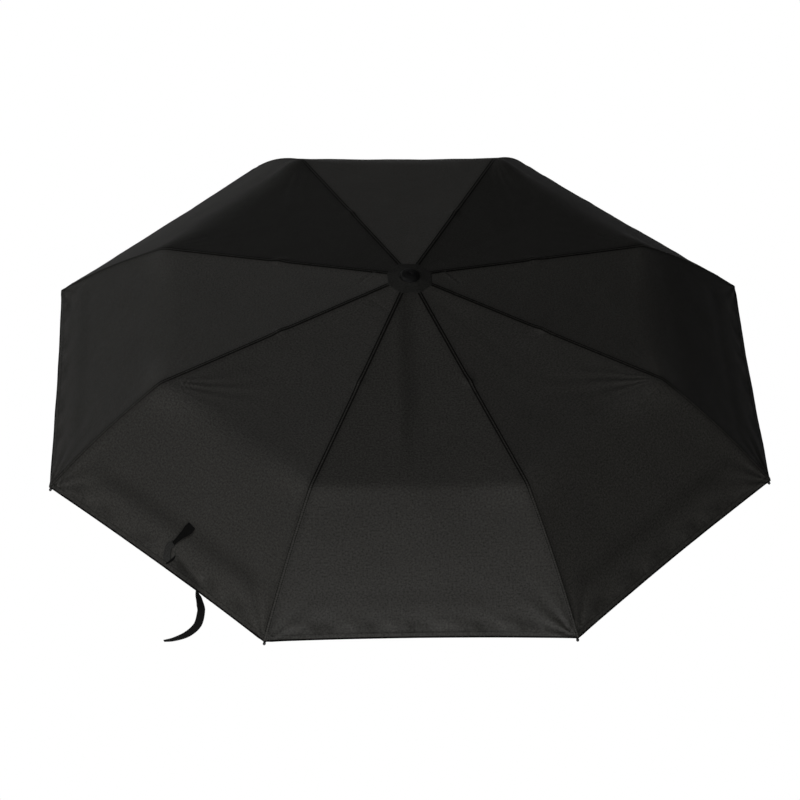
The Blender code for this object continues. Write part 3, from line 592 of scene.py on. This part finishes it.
def cloth_material(
    name, color, roughness, sheen, shine=0.4, thread=THREAD, speckle=SPECKLE, depth=THREAD_DEPTH, shade=None
):
    """Plain-weave polyester: crossed threads in the cloth's own directions, with uneven yarn.

    shade is a function that returns one more factor, for the colour and the shine."""
    n = Nodes(name)
    uv = n.add("ShaderNodeUVMap", uv_map="weave").outputs["UV"]
    x, y = n.split(uv)
    warp = n.math("SINE", n.math("MULTIPLY", x, math.tau / thread))
    weft = n.math("SINE", n.math("MULTIPLY", y, math.tau / thread))
    checks = n.math("MULTIPLY", warp, weft)

    # yarns vary along their length: noise stretched one way, then the other
    slubs = []
    for stretch in ((1, 7, 1), (7, 1, 1)):
        scaled = n.add("ShaderNodeVectorMath", {0: uv, 1: stretch}, operation="MULTIPLY").outputs[0]
        slubs.append(n.noise(120, 2.0, scaled))
    yarn = n.math("MULTIPLY", n.math("ADD", *slubs), 0.5)
    grain = n.noise(420, 2.0, uv)
    broad = n.noise(9, 3.0, uv)

    level = n.ramp(yarn, 0.35, 0.65, 1 - speckle * 0.5, 1 + speckle * 0.5)
    level = n.math("MULTIPLY", level, n.ramp(grain, 0.3, 0.7, 1 - speckle, 1 + speckle))
    level = n.math("MULTIPLY", level, n.ramp(broad, 0.3, 0.7, 0.94, 1.06))
    level = n.math("MULTIPLY", level, n.ramp(checks, -1, 1, 0.9, 1.1))
    gloss = n.ramp(grain, 0.3, 0.7, shine * (1 - speckle), shine * (1 + speckle))
    if shade:
        factor = shade(n, x, y)
        level = n.math("MULTIPLY", level, factor)
        gloss = n.math("MULTIPLY", gloss, factor)
        sheen = n.math("MULTIPLY", factor, sheen)
    height = n.math("ADD", n.math("MULTIPLY", checks, 0.5), n.math("MULTIPLY", yarn, 1.2))
    n.shade(
        Base_Color=n.tint(color, level),
        Roughness=n.ramp(grain, 0.3, 0.7, roughness - 0.06, roughness + 0.06),
        Sheen_Weight=sheen,
        Sheen_Roughness=0.45,
        Specular_IOR_Level=gloss,
        Normal=n.bump(height, depth, 0.7),
    )
    return n.material


# where the canopy's tone changes: (from, to) distances
RIM_FADE = (1.7 * MM, 2.5 * MM)
STITCH_FROM_HEM = 7 * MM
STITCH_FADE = (0.2 * MM, 0.8 * MM)
# painted shade in the shallow valley beside each rib
RIB_SHADE_FADE = (3 * MM, 9 * MM)
# painted shade down the creased gore's middle, fading out before the elbow
CREASE_SHADE_FADE = (5 * MM, 17 * MM)
CREASE_SHADE_END_FADE = (S_ELBOW - 130 * MM, S_ELBOW - 20 * MM)
SEAM_LINE_AT = 1.7 * MM
SEAM_STITCH = 2.6 * MM


def edge_shade(n, x, y):
    """The canopy is darker at its edge and its hem's stitching, with painted shade beside the ribs and down
    one gore's crease, and the painted light and shade of its panels and folds.
    """
    from_rib, from_hem = n.split(n.add("ShaderNodeUVMap", uv_map="edge").outputs["UV"])
    rim = n.ramp(from_hem, *RIM_FADE, 0.1, 1.0)
    stitch_gap = n.math("ABSOLUTE", n.math("SUBTRACT", from_hem, STITCH_FROM_HEM))
    stitch = n.ramp(stitch_gap, *STITCH_FADE, 0.72, 1.0)
    # painted shade beside each rib
    rib_shade = n.ramp(from_rib, *RIB_SHADE_FADE, 0.86, 1.0)
    # painted shade down the creased gore's middle
    across = n.math("ABSOLUTE", n.math("SUBTRACT", x, CREASED_GORE * WEAVE_STEP + CREASE_SIDE))
    beside = n.ramp(across, *CREASE_SHADE_FADE, 0.0, 1.0)
    below = n.ramp(y, *CREASE_SHADE_END_FADE, 0.0, 1.0)
    crease_shade = n.ramp(n.math("MAXIMUM", beside, below), 0.0, 1.0, 0.8, 1.0)
    # the painted light and shade of panels and folds, worked out by shading() and carried in its own UV map
    tone = n.split(n.add("ShaderNodeUVMap", uv_map="tone").outputs["UV"])[0]
    edges = n.math("MULTIPLY", n.math("MULTIPLY", rim, stitch), rib_shade)
    return n.math("MULTIPLY", n.math("MULTIPLY", edges, crease_shade), tone)


def seam_shade(n, x, y):
    """A dark stitched line each side of the seam's ridge, broader where it runs over the inner ribs."""
    upper = n.ramp(y, S_ELBOW - 15 * MM, S_ELBOW + 25 * MM, 1.0, 0.0)
    beside = n.math("ABSOLUTE", n.math("SUBTRACT", n.math("ABSOLUTE", x), SEAM_LINE_AT))
    width = n.ramp(upper, 0.0, 1.0, 0.35 * MM, 0.75 * MM)
    depth = n.ramp(upper, 0.0, 1.0, 0.45, 0.22)
    line = n.ramp(beside, width, n.math("ADD", width, 0.5 * MM), depth, 1.0)
    dashes = n.ramp(n.math("SINE", n.math("MULTIPLY", y, math.tau / SEAM_STITCH)), -0.2, 0.2, 0.85, 1.1)
    down = n.ramp(y, 0.0, S_ELBOW + 10 * MM, 0.6, 1.0)
    return n.math("MULTIPLY", n.math("MULTIPLY", line, dashes), down)


def moulded_material(name, color, roughness, grain=0.03 * MM, shine=0.5):
    """Moulded plastic or rubber: fine grain, with slow changes in its shine."""
    n = Nodes(name)
    place = n.object_space()
    fine = n.noise(2600, 2.0, place)
    slow = n.noise(60, 3.0, place)
    n.shade(
        Base_Color=n.tint(color, n.ramp(slow, 0.3, 0.7, 0.85, 1.15)),
        Roughness=n.ramp(slow, 0.3, 0.7, roughness - 0.07, roughness + 0.09),
        Normal=n.bump(fine, grain, 0.6),
        Specular_IOR_Level=shine,
    )
    return n.material


def metal_material(name, color, roughness, metallic=1.0):
    """Drawn metal, with streaks that run along the part and slight wear."""
    n = Nodes(name)
    scaled = n.add("ShaderNodeVectorMath", {0: n.object_space(), 1: (1, 1, 0.06)}, operation="MULTIPLY")
    streaks = n.noise(1500, 2.0, scaled.outputs[0])
    wear = n.noise(35, 4.0, n.object_space())
    n.shade(
        Base_Color=n.tint(color, n.ramp(wear, 0.3, 0.7, 0.85, 1.2)),
        Metallic=metallic,
        Roughness=n.ramp(wear, 0.3, 0.7, roughness - 0.08, roughness + 0.12),
        Normal=n.bump(streaks, STREAK_DEPTH, 0.5),
    )
    return n.material


BLACK_CLOTH = (0.0240, 0.0227, 0.0195)
CLOTH_MATERIAL = cloth_material("canopy_cloth", BLACK_CLOTH, 0.55, 0.06, shade=edge_shade)
SEAM_MATERIAL = cloth_material("seam_cloth", BLACK_CLOTH, 0.6, 0.04, shade=seam_shade)
PATCH_MATERIAL = cloth_material("patch_cloth", (0.0125, 0.0122, 0.0108), 0.7, 0.02, shine=0.25)
BAND_MATERIAL = cloth_material("band_cloth", (0.017, 0.0167, 0.0155), 0.62, 0.03, shine=0.3)
STRAP_BLACK = (0.006, 0.006, 0.0058)
STRAP_MATERIAL = cloth_material(
    "strap_cloth", STRAP_BLACK, 0.8, 0.0, shine=0.08, thread=0.8 * MM, speckle=0.15, depth=0.03 * MM
)
# the tab's own near-black, also used for a strip of painted shadow where the band folds under
TAB_AND_SHADOW_MATERIAL = cloth_material("tab_and_shadow_cloth", (0.0042, 0.0042, 0.004), 0.9, 0.0, shine=0.08, thread=0.9 * MM)
THREAD_MATERIAL = moulded_material("thread", (0.012, 0.012, 0.012), 0.7)
PLASTIC = moulded_material("black_plastic", (0.013, 0.013, 0.0135), 0.48)
GLOSS = moulded_material("gloss_plastic", (0.0045, 0.0045, 0.0046), 0.45, 0.02 * MM, shine=0.16)
RUBBER = moulded_material("grip_rubber", (0.016, 0.016, 0.0165), 0.66, 0.06 * MM)
BLACK_STEEL = metal_material("black_steel", (0.03, 0.03, 0.032), 0.38, 0.8)
BRIGHT_STEEL = metal_material("bright_steel", (0.56, 0.56, 0.57), 0.3)
ALUMINIUM = metal_material("rib_aluminium", (0.62, 0.63, 0.65), 0.34)


def dress(obj, material, body=None):
    obj.data.materials.clear()
    obj.data.materials.append(material)
    if body:
        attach(obj, body)


# --- canopy ---
def chord_angle(slope):
    """The angle in the cloth between a rib at this slope and its gore's middle line."""
    between = math.cos(slope) ** 2 * math.cos(PITCH) + math.sin(slope) ** 2
    return math.acos(between) / 2


GORE_ANGLE = chord_angle(OUTER_SLOPE)


def outer_cut(q):
    """Where the outer cloth is parted: from the elbow, square to the rib. q is 0 at the rib."""
    back = ELBOW.x * math.sin(HALF) * math.sin(GORE_ANGLE)
    return S_ELBOW + 0.4 * MM + back * q


def cloth_patch(name, gore, side, start, end, rows, columns):
    """One half of a gore, between two stations that may differ across it. side -1 touches rib gore + 1."""
    q = np.linspace(0, 1, columns)
    v = side * (1 - q)
    t = np.linspace(0, 1, rows)[:, None]
    low = start(q) if callable(start) else np.full(columns, start)
    high = end(q, v) if callable(end) else np.full(columns, end)
    s = low + (high - low) * t
    v = np.broadcast_to(v, s.shape)
    if side > 0:
        s, v = s[:, ::-1], v[:, ::-1]
    points, normals = surface_with_normals(gore, s, v)
    r = profile(s, np.full(s.shape, CORNER_AT_RIB))[0]
    weave = np.stack([r * math.sin(HALF) * v + gore * WEAVE_STEP, s], axis=-1)
    edge = np.stack([distance_from_rib(r, v), hem_station(v) - s], axis=-1)
    # painted light and shade of the panel and its folds, passed to the material as a UV map
    tone = np.repeat(shading(gore, s, v, r)[..., None], 2, axis=-1)
    return slab(name, points, normals, CLOTH, weave=weave, edge=edge, tone=tone)


def build_gores():
    # name, its two ends, the body it rides, its rib's slope, the point it folds about, rows, columns
    stages = (
        ("upper", 0.0, S_KNEE, "top_rib", TOP_SLOPE, CLOTH_KNEE, 44, 16),
        ("middle", S_KNEE, S_ELBOW, "middle_rib", MIDDLE_SLOPE, CLOTH_KNEE, 50, 30),
        ("knuckle", S_ELBOW, lambda q, v: outer_cut(q), "outer_rib", None, CLOTH_ELBOW, 12, 34),
        ("skirt", outer_cut, lambda q, v: hem_station(v), "outer_rib", OUTER_SLOPE, CLOTH_ELBOW, 64, 44),
    )
    for gore in range(RIBS):
        for side, label in ((-1, "a"), (1, "b")):
            rib = (gore if side < 0 else gore + 1) % RIBS
            for stage, start, end, body, slope, anchor, rows, columns in stages:
                name = f"gore_{gore + 1}_{label}_{stage}"
                piece = cloth_patch(name, gore, side, start, end, rows, columns)
                dress(piece, CLOTH_MATERIAL, f"{body}_{rib + 1}")
                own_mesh(piece)
                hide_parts("canopy")


# --- seams along the ribs ---
SEAM_OFFSETS = (-3.0, -2.6, -1.7, -0.8, -0.4, 0.0, 0.4, 0.8, 1.7, 2.6, 3.0)
SEAM_LIFTS = (0.02, 0.24, 0.12, 0.34, 0.5, 0.56, 0.5, 0.34, 0.12, 0.24, 0.02)


def seam_points(rib, s):
    """A grid along a rib: each row crosses the seam from the gore before it to the gore after it."""
    before, after = (rib - 1) % RIBS, rib
    columns, normals = [], []
    r = profile(s, np.full(s.shape, CORNER_AT_RIB))[0]
    for offset, lift in zip(SEAM_OFFSETS, SEAM_LIFTS):
        inward = abs(offset) * MM / (r * math.sin(HALF) * SLANT)
        gore = before if offset < 0 else after
        v = (1 - inward) if offset < 0 else (-1 + inward)
        points, normal = surface_with_normals(gore, s, v)
        if normal[0, 2] < 0:
            normal = -normal
        if offset == 0:
            other = surface_with_normals(before, s, np.ones_like(s))[1]
            other = other * np.sign(other[:, 2:3])
            normal = normal + other
            normal /= np.linalg.norm(normal, axis=-1, keepdims=True)
        columns.append(points + normal * lift * MM)
        normals.append(normal)
    return np.stack(columns, axis=1), np.stack(normals, axis=1)


def build_seams():
    halfway = (S_KNEE + S_ELBOW) / 2
    runs = (
        ("inner", 2 * MM, halfway, "top_rib", "middle_rib", S_KNEE),
        ("outer", halfway, S_HEM - 1 * MM, "middle_rib", "outer_rib", S_ELBOW),
    )
    for rib in range(RIBS):
        for label, low, high, first, second, joint in runs:
            s = np.linspace(low, high, 110)
            points, normals = seam_points(rib, s)
            weave = np.stack(np.broadcast_arrays(np.array(SEAM_OFFSETS) * MM, s[:, None]), axis=-1)
            seam = slab(f"seam_{rib + 1}_{label}", points, normals, 0.5 * MM, weave=weave)
            dress(seam, SEAM_MATERIAL)
            spread = 6 * MM
            r0, z0 = profile(np.array([joint - spread, joint + spread]), np.zeros(2))
            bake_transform(seam)
            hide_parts("canopy")


# --- crown patch ---
PATCH_RADII = (4.6, 5.5, 8.0, 10.5, 13, 17, 21, 25, 28.3, 29.3, 29.8)
PATCH_LIFTS = (0.75, 0.75, 0.75, 0.7, 0.62, 0.6, 0.6, 0.62, 0.75, 0.62, 0.35)
PATCH_RING = 3  # the row where the ring round the cap ends and the petals begin
PATCH_COLUMNS = 96
PATCH_CLOTH = 0.4 * MM
PATCH_HILL = 1.1 * MM  # how far the cap's edge holds the patch's middle up
ROUND_SHARE = 0.96  # the round middle's radius, as a share of the octagon's


def patch_point(radius, lift, angle):
    inside = (angle - FIRST_RIB) % PITCH - HALF
    corner = math.cos(HALF) / math.cos(inside)
    sharp = ease(np.array(radius), 8.0, 18.0)
    reach = radius * MM * (corner * sharp + (1 - sharp) * ROUND_SHARE)
    fall = max(reach / corner, START_R) - START_R
    height = CLOTH_START.y - math.tan(TOP_SLOPE) * fall
    hill = PATCH_HILL * (1 - ease(np.array(reach), 9 * MM, 19 * MM))
    return reach * math.cos(angle), reach * math.sin(angle), height + hill + lift * MM


def build_patch():
    """The octagon of cloth round the crown: a ring, and eight petals."""
    angles = FIRST_RIB + np.arange(PATCH_COLUMNS) * math.tau / PATCH_COLUMNS
    rows = zip(PATCH_RADII, PATCH_LIFTS)
    outer = np.array([[patch_point(radius, lift, angle) for angle in angles] for radius, lift in rows])
    ds = np.gradient(outer, axis=0)
    dt = np.roll(outer, -1, axis=1) - np.roll(outer, 1, axis=1)
    normals = np.cross(ds, dt)
    normals /= np.linalg.norm(normals, axis=-1, keepdims=True)
    normals *= np.sign(normals[..., 2:3])

    inner = outer[: PATCH_RING + 1]
    facing = normals[: PATCH_RING + 1]
    cloth = slab("crown_patch_ring", inner, facing, PATCH_CLOTH, cyclic=True, weave=inner[..., :2])
    dress(cloth, PATCH_MATERIAL, "top_shaft")
    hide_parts("crown_patch")

    half = PATCH_COLUMNS // RIBS // 2
    for rib in range(RIBS):
        middle = rib * PATCH_COLUMNS // RIBS
        columns = np.arange(middle - half, middle + half + 1) % PATCH_COLUMNS
        points = outer[PATCH_RING:, columns]
        name = f"crown_patch_petal_{rib + 1}"
        petal = slab(name, points, normals[PATCH_RING:, columns], PATCH_CLOTH, weave=points[..., :2])
        dress(petal, PATCH_MATERIAL)
        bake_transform(petal)
        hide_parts("crown_patch")


# --- tie strap ---
# paths on the gore in mm: towards rib 6 from the gore's middle, above the hem, lift; and widths along them
TAB_PATH = ((20.5, 64, 1.0), (18.5, 54, 2.6), (15, 43, 2.2), (11.4, 32, 1.0))
TAB_WIDTHS = (11, 13, 10.5, 7.5, 5.5, 4.5)
BAND_PATH = ((11.5, 34, 0.5), (8.5, 26, 1.2), (10, 18, 1.5), (14, 9, 0.6))
BAND_WIDTHS = (7, 9, 9.5, 9)
# a thin dark strip of painted shadow along the band's end, where it folds under
FOLD_SHADOW_PATH = ((21, 20, 0.4), (19.5, 13, 0.9), (15.5, 5, 0.5))
FOLD_SHADOW_WIDTHS = (1, 2.6, 2.2, 1)
# the loose end: mm from its root, how far it is turned about its path at each point in degrees, and its
# width in mm at shares of its length
LOOSE_STEPS = (
    (0.5, 0, -10),
    (3, 1, -24),
    (4.5, 1, -40),
    (0, 2, -64),
    (-12, 2, -80),
    (-28, 1, -88),
    (-41, 0, -90),
)
LOOSE_TURNS = (72, 64, 53, 42, 40, 50, 66, 78)
LOOSE_SHARES = (0, 0.14, 0.25)
LOOSE_WIDTHS = (4, 8, 12)
STRAP_SAMPLES = 40
LOOSE_SAMPLES = 90
WEBBING = 1.1 * MM
THIN_WEBBING = 0.8 * MM
# the thickness of the painted shadow strip
FOLD_SHADOW_THICKNESS = 0.7 * MM
WEBBING_WIDTH = 12 * MM


def ribbon(name, centres, sides, normals, width, thickness):
    """A flat band: for each point on its centre line, a sideways direction, a normal and a width."""
    centres, sides, normals = (np.array(a, float) for a in (centres, sides, normals))
    across = np.linspace(-0.5, 0.5, 7)
    width = np.asarray(width, float)[:, None, None]
    outer = centres[:, None] + sides[:, None] * (across[None, :, None] * width)
    steps = np.linalg.norm(np.diff(centres, axis=0), axis=1)
    distance = np.concatenate([[0], np.cumsum(steps)])
    grid = np.broadcast_to(normals[:, None], outer.shape).copy()
    weave = np.stack(np.broadcast_arrays(across[None, :] * WEBBING_WIDTH, distance[:, None]), axis=-1)
    if np.dot(np.cross(outer[1, 0] - outer[0, 0], outer[0, 1] - outer[0, 0]), normals[0]) < 0:
        outer = outer[:, ::-1]
        weave = weave[:, ::-1]
    return slab(name, outer + grid * thickness / 2, grid, thickness, weave=weave)


def smooth_path(points, count):
    """A Catmull-Rom curve through the points, evenly sampled by span."""
    points = np.array(points, float)
    padded = np.vstack([2 * points[0] - points[1], points, 2 * points[-1] - points[-2]])
    spans = len(points) - 1
    samples = []
    for value in np.linspace(0, spans, count):
        k = min(int(value), spans - 1)
        t = value - k
        a, b, c, d = padded[k : k + 4]
        linear = (c - a) * t
        square = (2 * a - 5 * b + 4 * c - d) * t * t
        cube = (3 * b - a - 3 * c + d) * t**3
        samples.append(0.5 * (2 * b + linear + square + cube))
    return np.array(samples)


def on_gore(side, from_hem, lift):
    """A point on the strap's gore: side is measured from the gore's middle towards rib 6."""
    s = np.array([S_HEM - from_hem])
    r = profile(s, np.full(1, CORNER_AT_RIB))[0]
    v = np.array([side / (r[0] * math.sin(HALF))])
    s = hem_station(v) - from_hem
    point, normal = surface_with_normals(STRAP_GORE, s, v)
    normal = normal[0] * np.sign(normal[0, 2])
    return point[0] + normal * lift, normal


def laid_ribbon(name, path, widths, thickness, material):
    """A ribbon that lies on the strap's gore."""
    smooth = smooth_path(path, STRAP_SAMPLES)
    pairs = [on_gore(side * MM, up * MM, lift * MM) for side, up, lift in smooth]
    centres = np.array([p for p, _ in pairs])
    forward = np.gradient(centres, axis=0)
    forward /= np.linalg.norm(forward, axis=1, keepdims=True)
    surface_normals = np.array([n for _, n in pairs])
    sides = np.cross(forward, surface_normals)
    sides /= np.linalg.norm(sides, axis=1, keepdims=True)
    normals = np.cross(sides, forward)
    normals *= np.sign((normals * surface_normals).sum(axis=1, keepdims=True))
    width = np.interp(np.linspace(0, 1, STRAP_SAMPLES), np.linspace(0, 1, len(widths)), widths) * MM
    piece = ribbon(name, centres, sides, normals, width, thickness)
    dress(piece, material, f"outer_rib_{STRAP_RIB}")
    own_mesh(piece)
    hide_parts("tie_strap")


def hanging_strap():
    """The loose end: it drops from inside the hem, edge on at first, and curls away to its tip."""
    root = on_gore(STRAP_SIDE, 2 * MM, -2.0 * MM)[0]
    path = [root] + [root + np.array(step) * MM for step in LOOSE_STEPS]
    centres = smooth_path(path, LOOSE_SAMPLES)
    forward = np.gradient(centres, axis=0)
    forward /= np.linalg.norm(forward, axis=1, keepdims=True)
    t = np.linspace(0, 1, LOOSE_SAMPLES)
    turn = np.radians(np.interp(t * (len(path) - 1), range(len(path)), LOOSE_TURNS))
    facing = np.array([0.0, -0.74, 0.67])
    flat = np.cross(forward, facing)
    flat /= np.linalg.norm(flat, axis=1, keepdims=True)
    depth = np.cross(flat, forward)
    sides = flat * np.cos(turn)[:, None] + depth * np.sin(turn)[:, None]
    normals = np.cross(forward, sides)
    width = np.interp(t, LOOSE_SHARES, LOOSE_WIDTHS) * MM
    strap = ribbon("strap_loose_end", centres, sides, normals, width, WEBBING)
    dress(strap, STRAP_MATERIAL, "top_shaft")
    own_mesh(strap)
    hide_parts("tie_strap")


def build_strap():
    laid_ribbon("strap_tab", TAB_PATH, TAB_WIDTHS, WEBBING, TAB_AND_SHADOW_MATERIAL)
    laid_ribbon("strap_band", BAND_PATH, BAND_WIDTHS, THIN_WEBBING, BAND_MATERIAL)
    # a thin dark strip of painted shadow where the band folds under
    laid_ribbon("strap_tuck", FOLD_SHADOW_PATH, FOLD_SHADOW_WIDTHS, FOLD_SHADOW_THICKNESS, TAB_AND_SHADOW_MATERIAL)
    hanging_strap()


# --- grip and cord ---
GRIP_BORE = 11.6 * MM
GRIP_WAIST = 0.9 * MM
GRIP_GROOVE = 0.55 * MM
GRIP_GROOVES = 15
GRIP_EDGE = 1.2 * MM
GRIP_STATIONS = 120
CORD_R = 1.1 * MM
CORD_ON_PIN = 1.35 * MM  # the cord's centre line from the pin's surface
CORD_DROP = 6 * MM
BRAID_TURNS = 74
BRAID_DEPTH = 0.07


def build_grip():
    low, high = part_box("handle_grip")
    bottom, top = low.z, high.z
    rim = high.x
    outline = [(GRIP_BORE, top), (rim - GRIP_EDGE, top)]
    for k in range(GRIP_STATIONS + 1):
        t = k / GRIP_STATIONS
        z = top - 0.4 * MM - (top - bottom - 0.8 * MM) * t
        body = rim - GRIP_WAIST + GRIP_WAIST * math.cos(math.tau * t)
        ribbed = float(ease(np.array(t), 0.12, 0.16) * (1 - ease(np.array(t), 0.84, 0.88)))
        groove = GRIP_GROOVE * ribbed * max(0.0, math.sin(t * math.tau * GRIP_GROOVES)) ** 0.6
        outline.append((body - groove - 0.05 * MM, z))
    outline += [(rim - GRIP_EDGE, bottom), (GRIP_BORE, bottom)]
    grip = turned("grip_sleeve", outline, 96)
    dress(grip, RUBBER, "handle")
    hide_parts("handle_grip")


def strand_path():
    """The cord's centre line: over its pin, down in two strands, and round the loop."""
    low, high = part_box("cord_loop")
    pin_low, pin_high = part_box("cord_pin")
    pin = (pin_low + pin_high) / 2
    bend = (pin_high.x - pin_low.x) / 2 + CORD_ON_PIN
    loop_r = (high.x - low.x) / 2 - CORD_R
    loop_z = low.z + CORD_R + loop_r
    points = []
    for k in range(9):
        a = math.pi * k / 8
        points.append((-bend * math.cos(a), bend * math.sin(a)))
    drop = pin.z - CORD_DROP
    sides = []
    for k in range(1, 10):
        t = k / 10
        sides.append((bend + (loop_r - bend) * t * t * (3 - 2 * t), -CORD_DROP + (loop_z - drop) * t))
    points += sides
    for k in range(13):
        a = -math.pi * k / 12
        points.append((loop_r * math.cos(a), loop_z - pin.z + loop_r * math.sin(a)))
    points += [(-x, z) for x, z in reversed(sides)]
    return [Vector((pin.x + x, pin.y, pin.z + z)) for x, z in points]


def build_cord():
    """A braided cord: two families of strands wound opposite ways round one loop."""
    centre = strand_path()
    ring = smooth_path([tuple(p) for p in centre + [centre[0]]], 900)[:-1]
    forward = np.roll(ring, -1, axis=0) - np.roll(ring, 1, axis=0)
    forward /= np.linalg.norm(forward, axis=1, keepdims=True)
    sideways = np.tile(np.array([0.0, 1.0, 0.0]), (len(ring), 1))
    normal = np.cross(forward, sideways)
    t = np.arange(len(ring))[:, None] / len(ring)
    angle = np.linspace(0, math.tau, 16, endpoint=False)[None, :]
    twist = t * math.tau * BRAID_TURNS * 2
    braid = np.sin(angle * 4 + twist) * np.sin(angle * 4 - twist)
    r = CORD_R * (1 - BRAID_DEPTH + BRAID_DEPTH * braid)[..., None]
    across = sideways[:, None] * np.cos(angle)[..., None]
    upright = normal[:, None] * np.sin(angle)[..., None]
    outer = ring[:, None] + (across + upright) * r
    rows, columns = outer.shape[:2]
    faces = []
    for i in range(rows):
        row = i * columns
        next_row = (i + 1) % rows * columns
        for j in range(columns):
            beside = (j + 1) % columns
            faces.append((row + j, row + beside, next_row + beside, next_row + j))
    mesh = bpy.data.meshes.new("cord_braid")
    mesh.from_pydata(outer.reshape(-1, 3).tolist(), [], faces)
    shape = bmesh.new()
    shape.from_mesh(mesh)
    bmesh.ops.recalc_face_normals(shape, faces=shape.faces)
    shape.to_mesh(mesh)
    shape.free()
    mesh.shade_smooth()
    cord = bpy.data.objects.new("cord_braid", mesh)
    bpy.context.scene.collection.objects.link(cord)
    dress(cord, THREAD_MATERIAL, "handle")
    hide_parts("cord_loop")


# --- the frame's own parts ---
PART_MATERIALS = (
    (PLASTIC, ("handle_core", "handle_collar", "handle_end_cap", "crown", "runner", "rib_tip")),
    (BRIGHT_STEEL, ("handle_pin", "cord_pin", "lower_catch", "upper_catch", "crown_wire")),
    (BLACK_STEEL, ("bottom_tube", "middle_tube", "top_tube", "top_rib", "stretcher", "outer_rib")),
    (GLOSS, ("top_cap", "runner_button")),
    (ALUMINIUM, ("middle_rib",)),
)


def is_copy(node, part):
    """Whether a node is this part or one of its numbered copies."""
    return node == part or (node.startswith(part + "_") and node[len(part) + 1 :].isdigit())


def dress_frame():
    for material, parts in PART_MATERIALS:
        for node in frame["nodes"]:
            if any(is_copy(node, part) for part in parts):
                for place in bpy.data.objects[node].material_slots:
                    place.material = material


# --- studio ---
# name, place, size and watts
LIGHTS = (
    ("key", (-0.6, -3.2, 1.0), (1.5, 1.0), 55),
    ("left", (-2.2, -0.4, 2.8), (1.5, 1.0), 14),
    ("right", (3.0, -1.4, 1.0), (1.0, 1.0), 0.3),
    ("top", (0, 0, 3.4), (1.5, 1.0), 8.5),
    ("back", (0, 3.4, 1.2), (0.5, 0.4), 1.1),
    ("back_left", (-1.7, 2.9, 1.2), (0.8, 0.8), 4.0),
)
LIGHT_AIM = Vector((0, 0, 0.45))
WORLD_LIGHT = 0.03
FLOOR_RADIUS = 12.0
FLOOR_GAP = 2 * MM  # below the umbrella's lowest point
FLOOR_COLOR = (0.82, 0.82, 0.82, 1.0)


def camera_axes(azimuth, elevation, roll):
    level = math.cos(elevation)
    back = Vector((math.sin(azimuth) * level, -math.cos(azimuth) * level, math.sin(elevation)))
    right = Vector((math.cos(azimuth), math.sin(azimuth), 0.0))
    up = back.cross(right)
    turned_right = right * math.cos(roll) + up * math.sin(roll)
    turned_up = up * math.cos(roll) - right * math.sin(roll)
    return turned_right, turned_up, back


def build_camera():
    right, up, back = camera_axes(CAMERA_AZIMUTH, CAMERA_ELEVATION, CAMERA_ROLL)
    radius = TIP.x
    aim = Vector((0, 0, TIP.y)) + (right * CAMERA_SHIFT[0] + up * CAMERA_SHIFT[1]) * radius
    data = bpy.data.cameras.new("camera")
    data.lens = CAMERA_LENS
    data.sensor_width = SENSOR
    data.clip_end = 100
    camera = bpy.data.objects.new("camera", data)
    turn = Matrix((right, up, back)).transposed().to_4x4()
    camera.matrix_world = Matrix.Translation(aim + back * CAMERA_DISTANCE * radius) @ turn
    bpy.context.scene.collection.objects.link(camera)
    bpy.context.scene.camera = camera


def add_light(name, place, size, power):
    data = bpy.data.lights.new(name, "AREA")
    data.shape = "RECTANGLE"
    data.size, data.size_y = size
    data.energy = power
    light = bpy.data.objects.new(name, data)
    light.location = place
    light.rotation_euler = (LIGHT_AIM - Vector(place)).to_track_quat("-Z", "Y").to_euler()
    light.visible_camera = False
    bpy.context.scene.collection.objects.link(light)


def glow(tree, kind, strength):
    """A white emission or background shader."""
    node = tree.nodes.new(kind)
    node.inputs["Color"].default_value = (1.0, 1.0, 1.0, 1.0)
    node.inputs["Strength"].default_value = strength
    return node.outputs[0]


def to_camera(tree, shader, seen):
    """One shader for the camera and another for everything else."""
    path = tree.nodes.new("ShaderNodeLightPath")
    mix = tree.nodes.new("ShaderNodeMixShader")
    tree.links.new(path.outputs["Is Camera Ray"], mix.inputs[0])
    tree.links.new(shader, mix.inputs[1])
    tree.links.new(seen, mix.inputs[2])
    return mix.outputs[0]


def build_world():
    world = bpy.data.worlds.new("studio")
    world.use_nodes = True
    tree = world.node_tree
    tree.nodes.clear()
    dim = glow(tree, "ShaderNodeBackground", WORLD_LIGHT)
    bright = glow(tree, "ShaderNodeBackground", 1.0)
    out = tree.nodes.new("ShaderNodeOutputWorld")
    tree.links.new(to_camera(tree, dim, bright), out.inputs["Surface"])
    bpy.context.scene.world = world


def build_floor():
    shape = bmesh.new()
    bmesh.ops.create_circle(shape, cap_ends=True, radius=FLOOR_RADIUS, segments=64)
    mesh = bpy.data.meshes.new("floor")
    shape.to_mesh(mesh)
    shape.free()
    floor = bpy.data.objects.new("floor", mesh)
    floor.location.z = cad_low.z - FLOOR_GAP
    bpy.context.scene.collection.objects.link(floor)
    n = Nodes("floor")
    n.shade(Base_Color=FLOOR_COLOR, Roughness=0.9)
    out = n.tree.nodes["Material Output"]
    white = glow(n.tree, "ShaderNodeEmission", 1.0)
    n.tree.links.new(to_camera(n.tree, n.shader.outputs[0], white), out.inputs["Surface"])
    mesh.materials.append(n.material)


def build_studio():
    scene = bpy.context.scene
    scene.view_settings.view_transform = "Standard"
    build_world()
    build_floor()
    for light in LIGHTS:
        add_light(*light)
    build_camera()


# --- build ---
build_gores()
build_seams()
build_patch()
build_strap()
build_grip()
build_cord()
dress_frame()
build_studio()
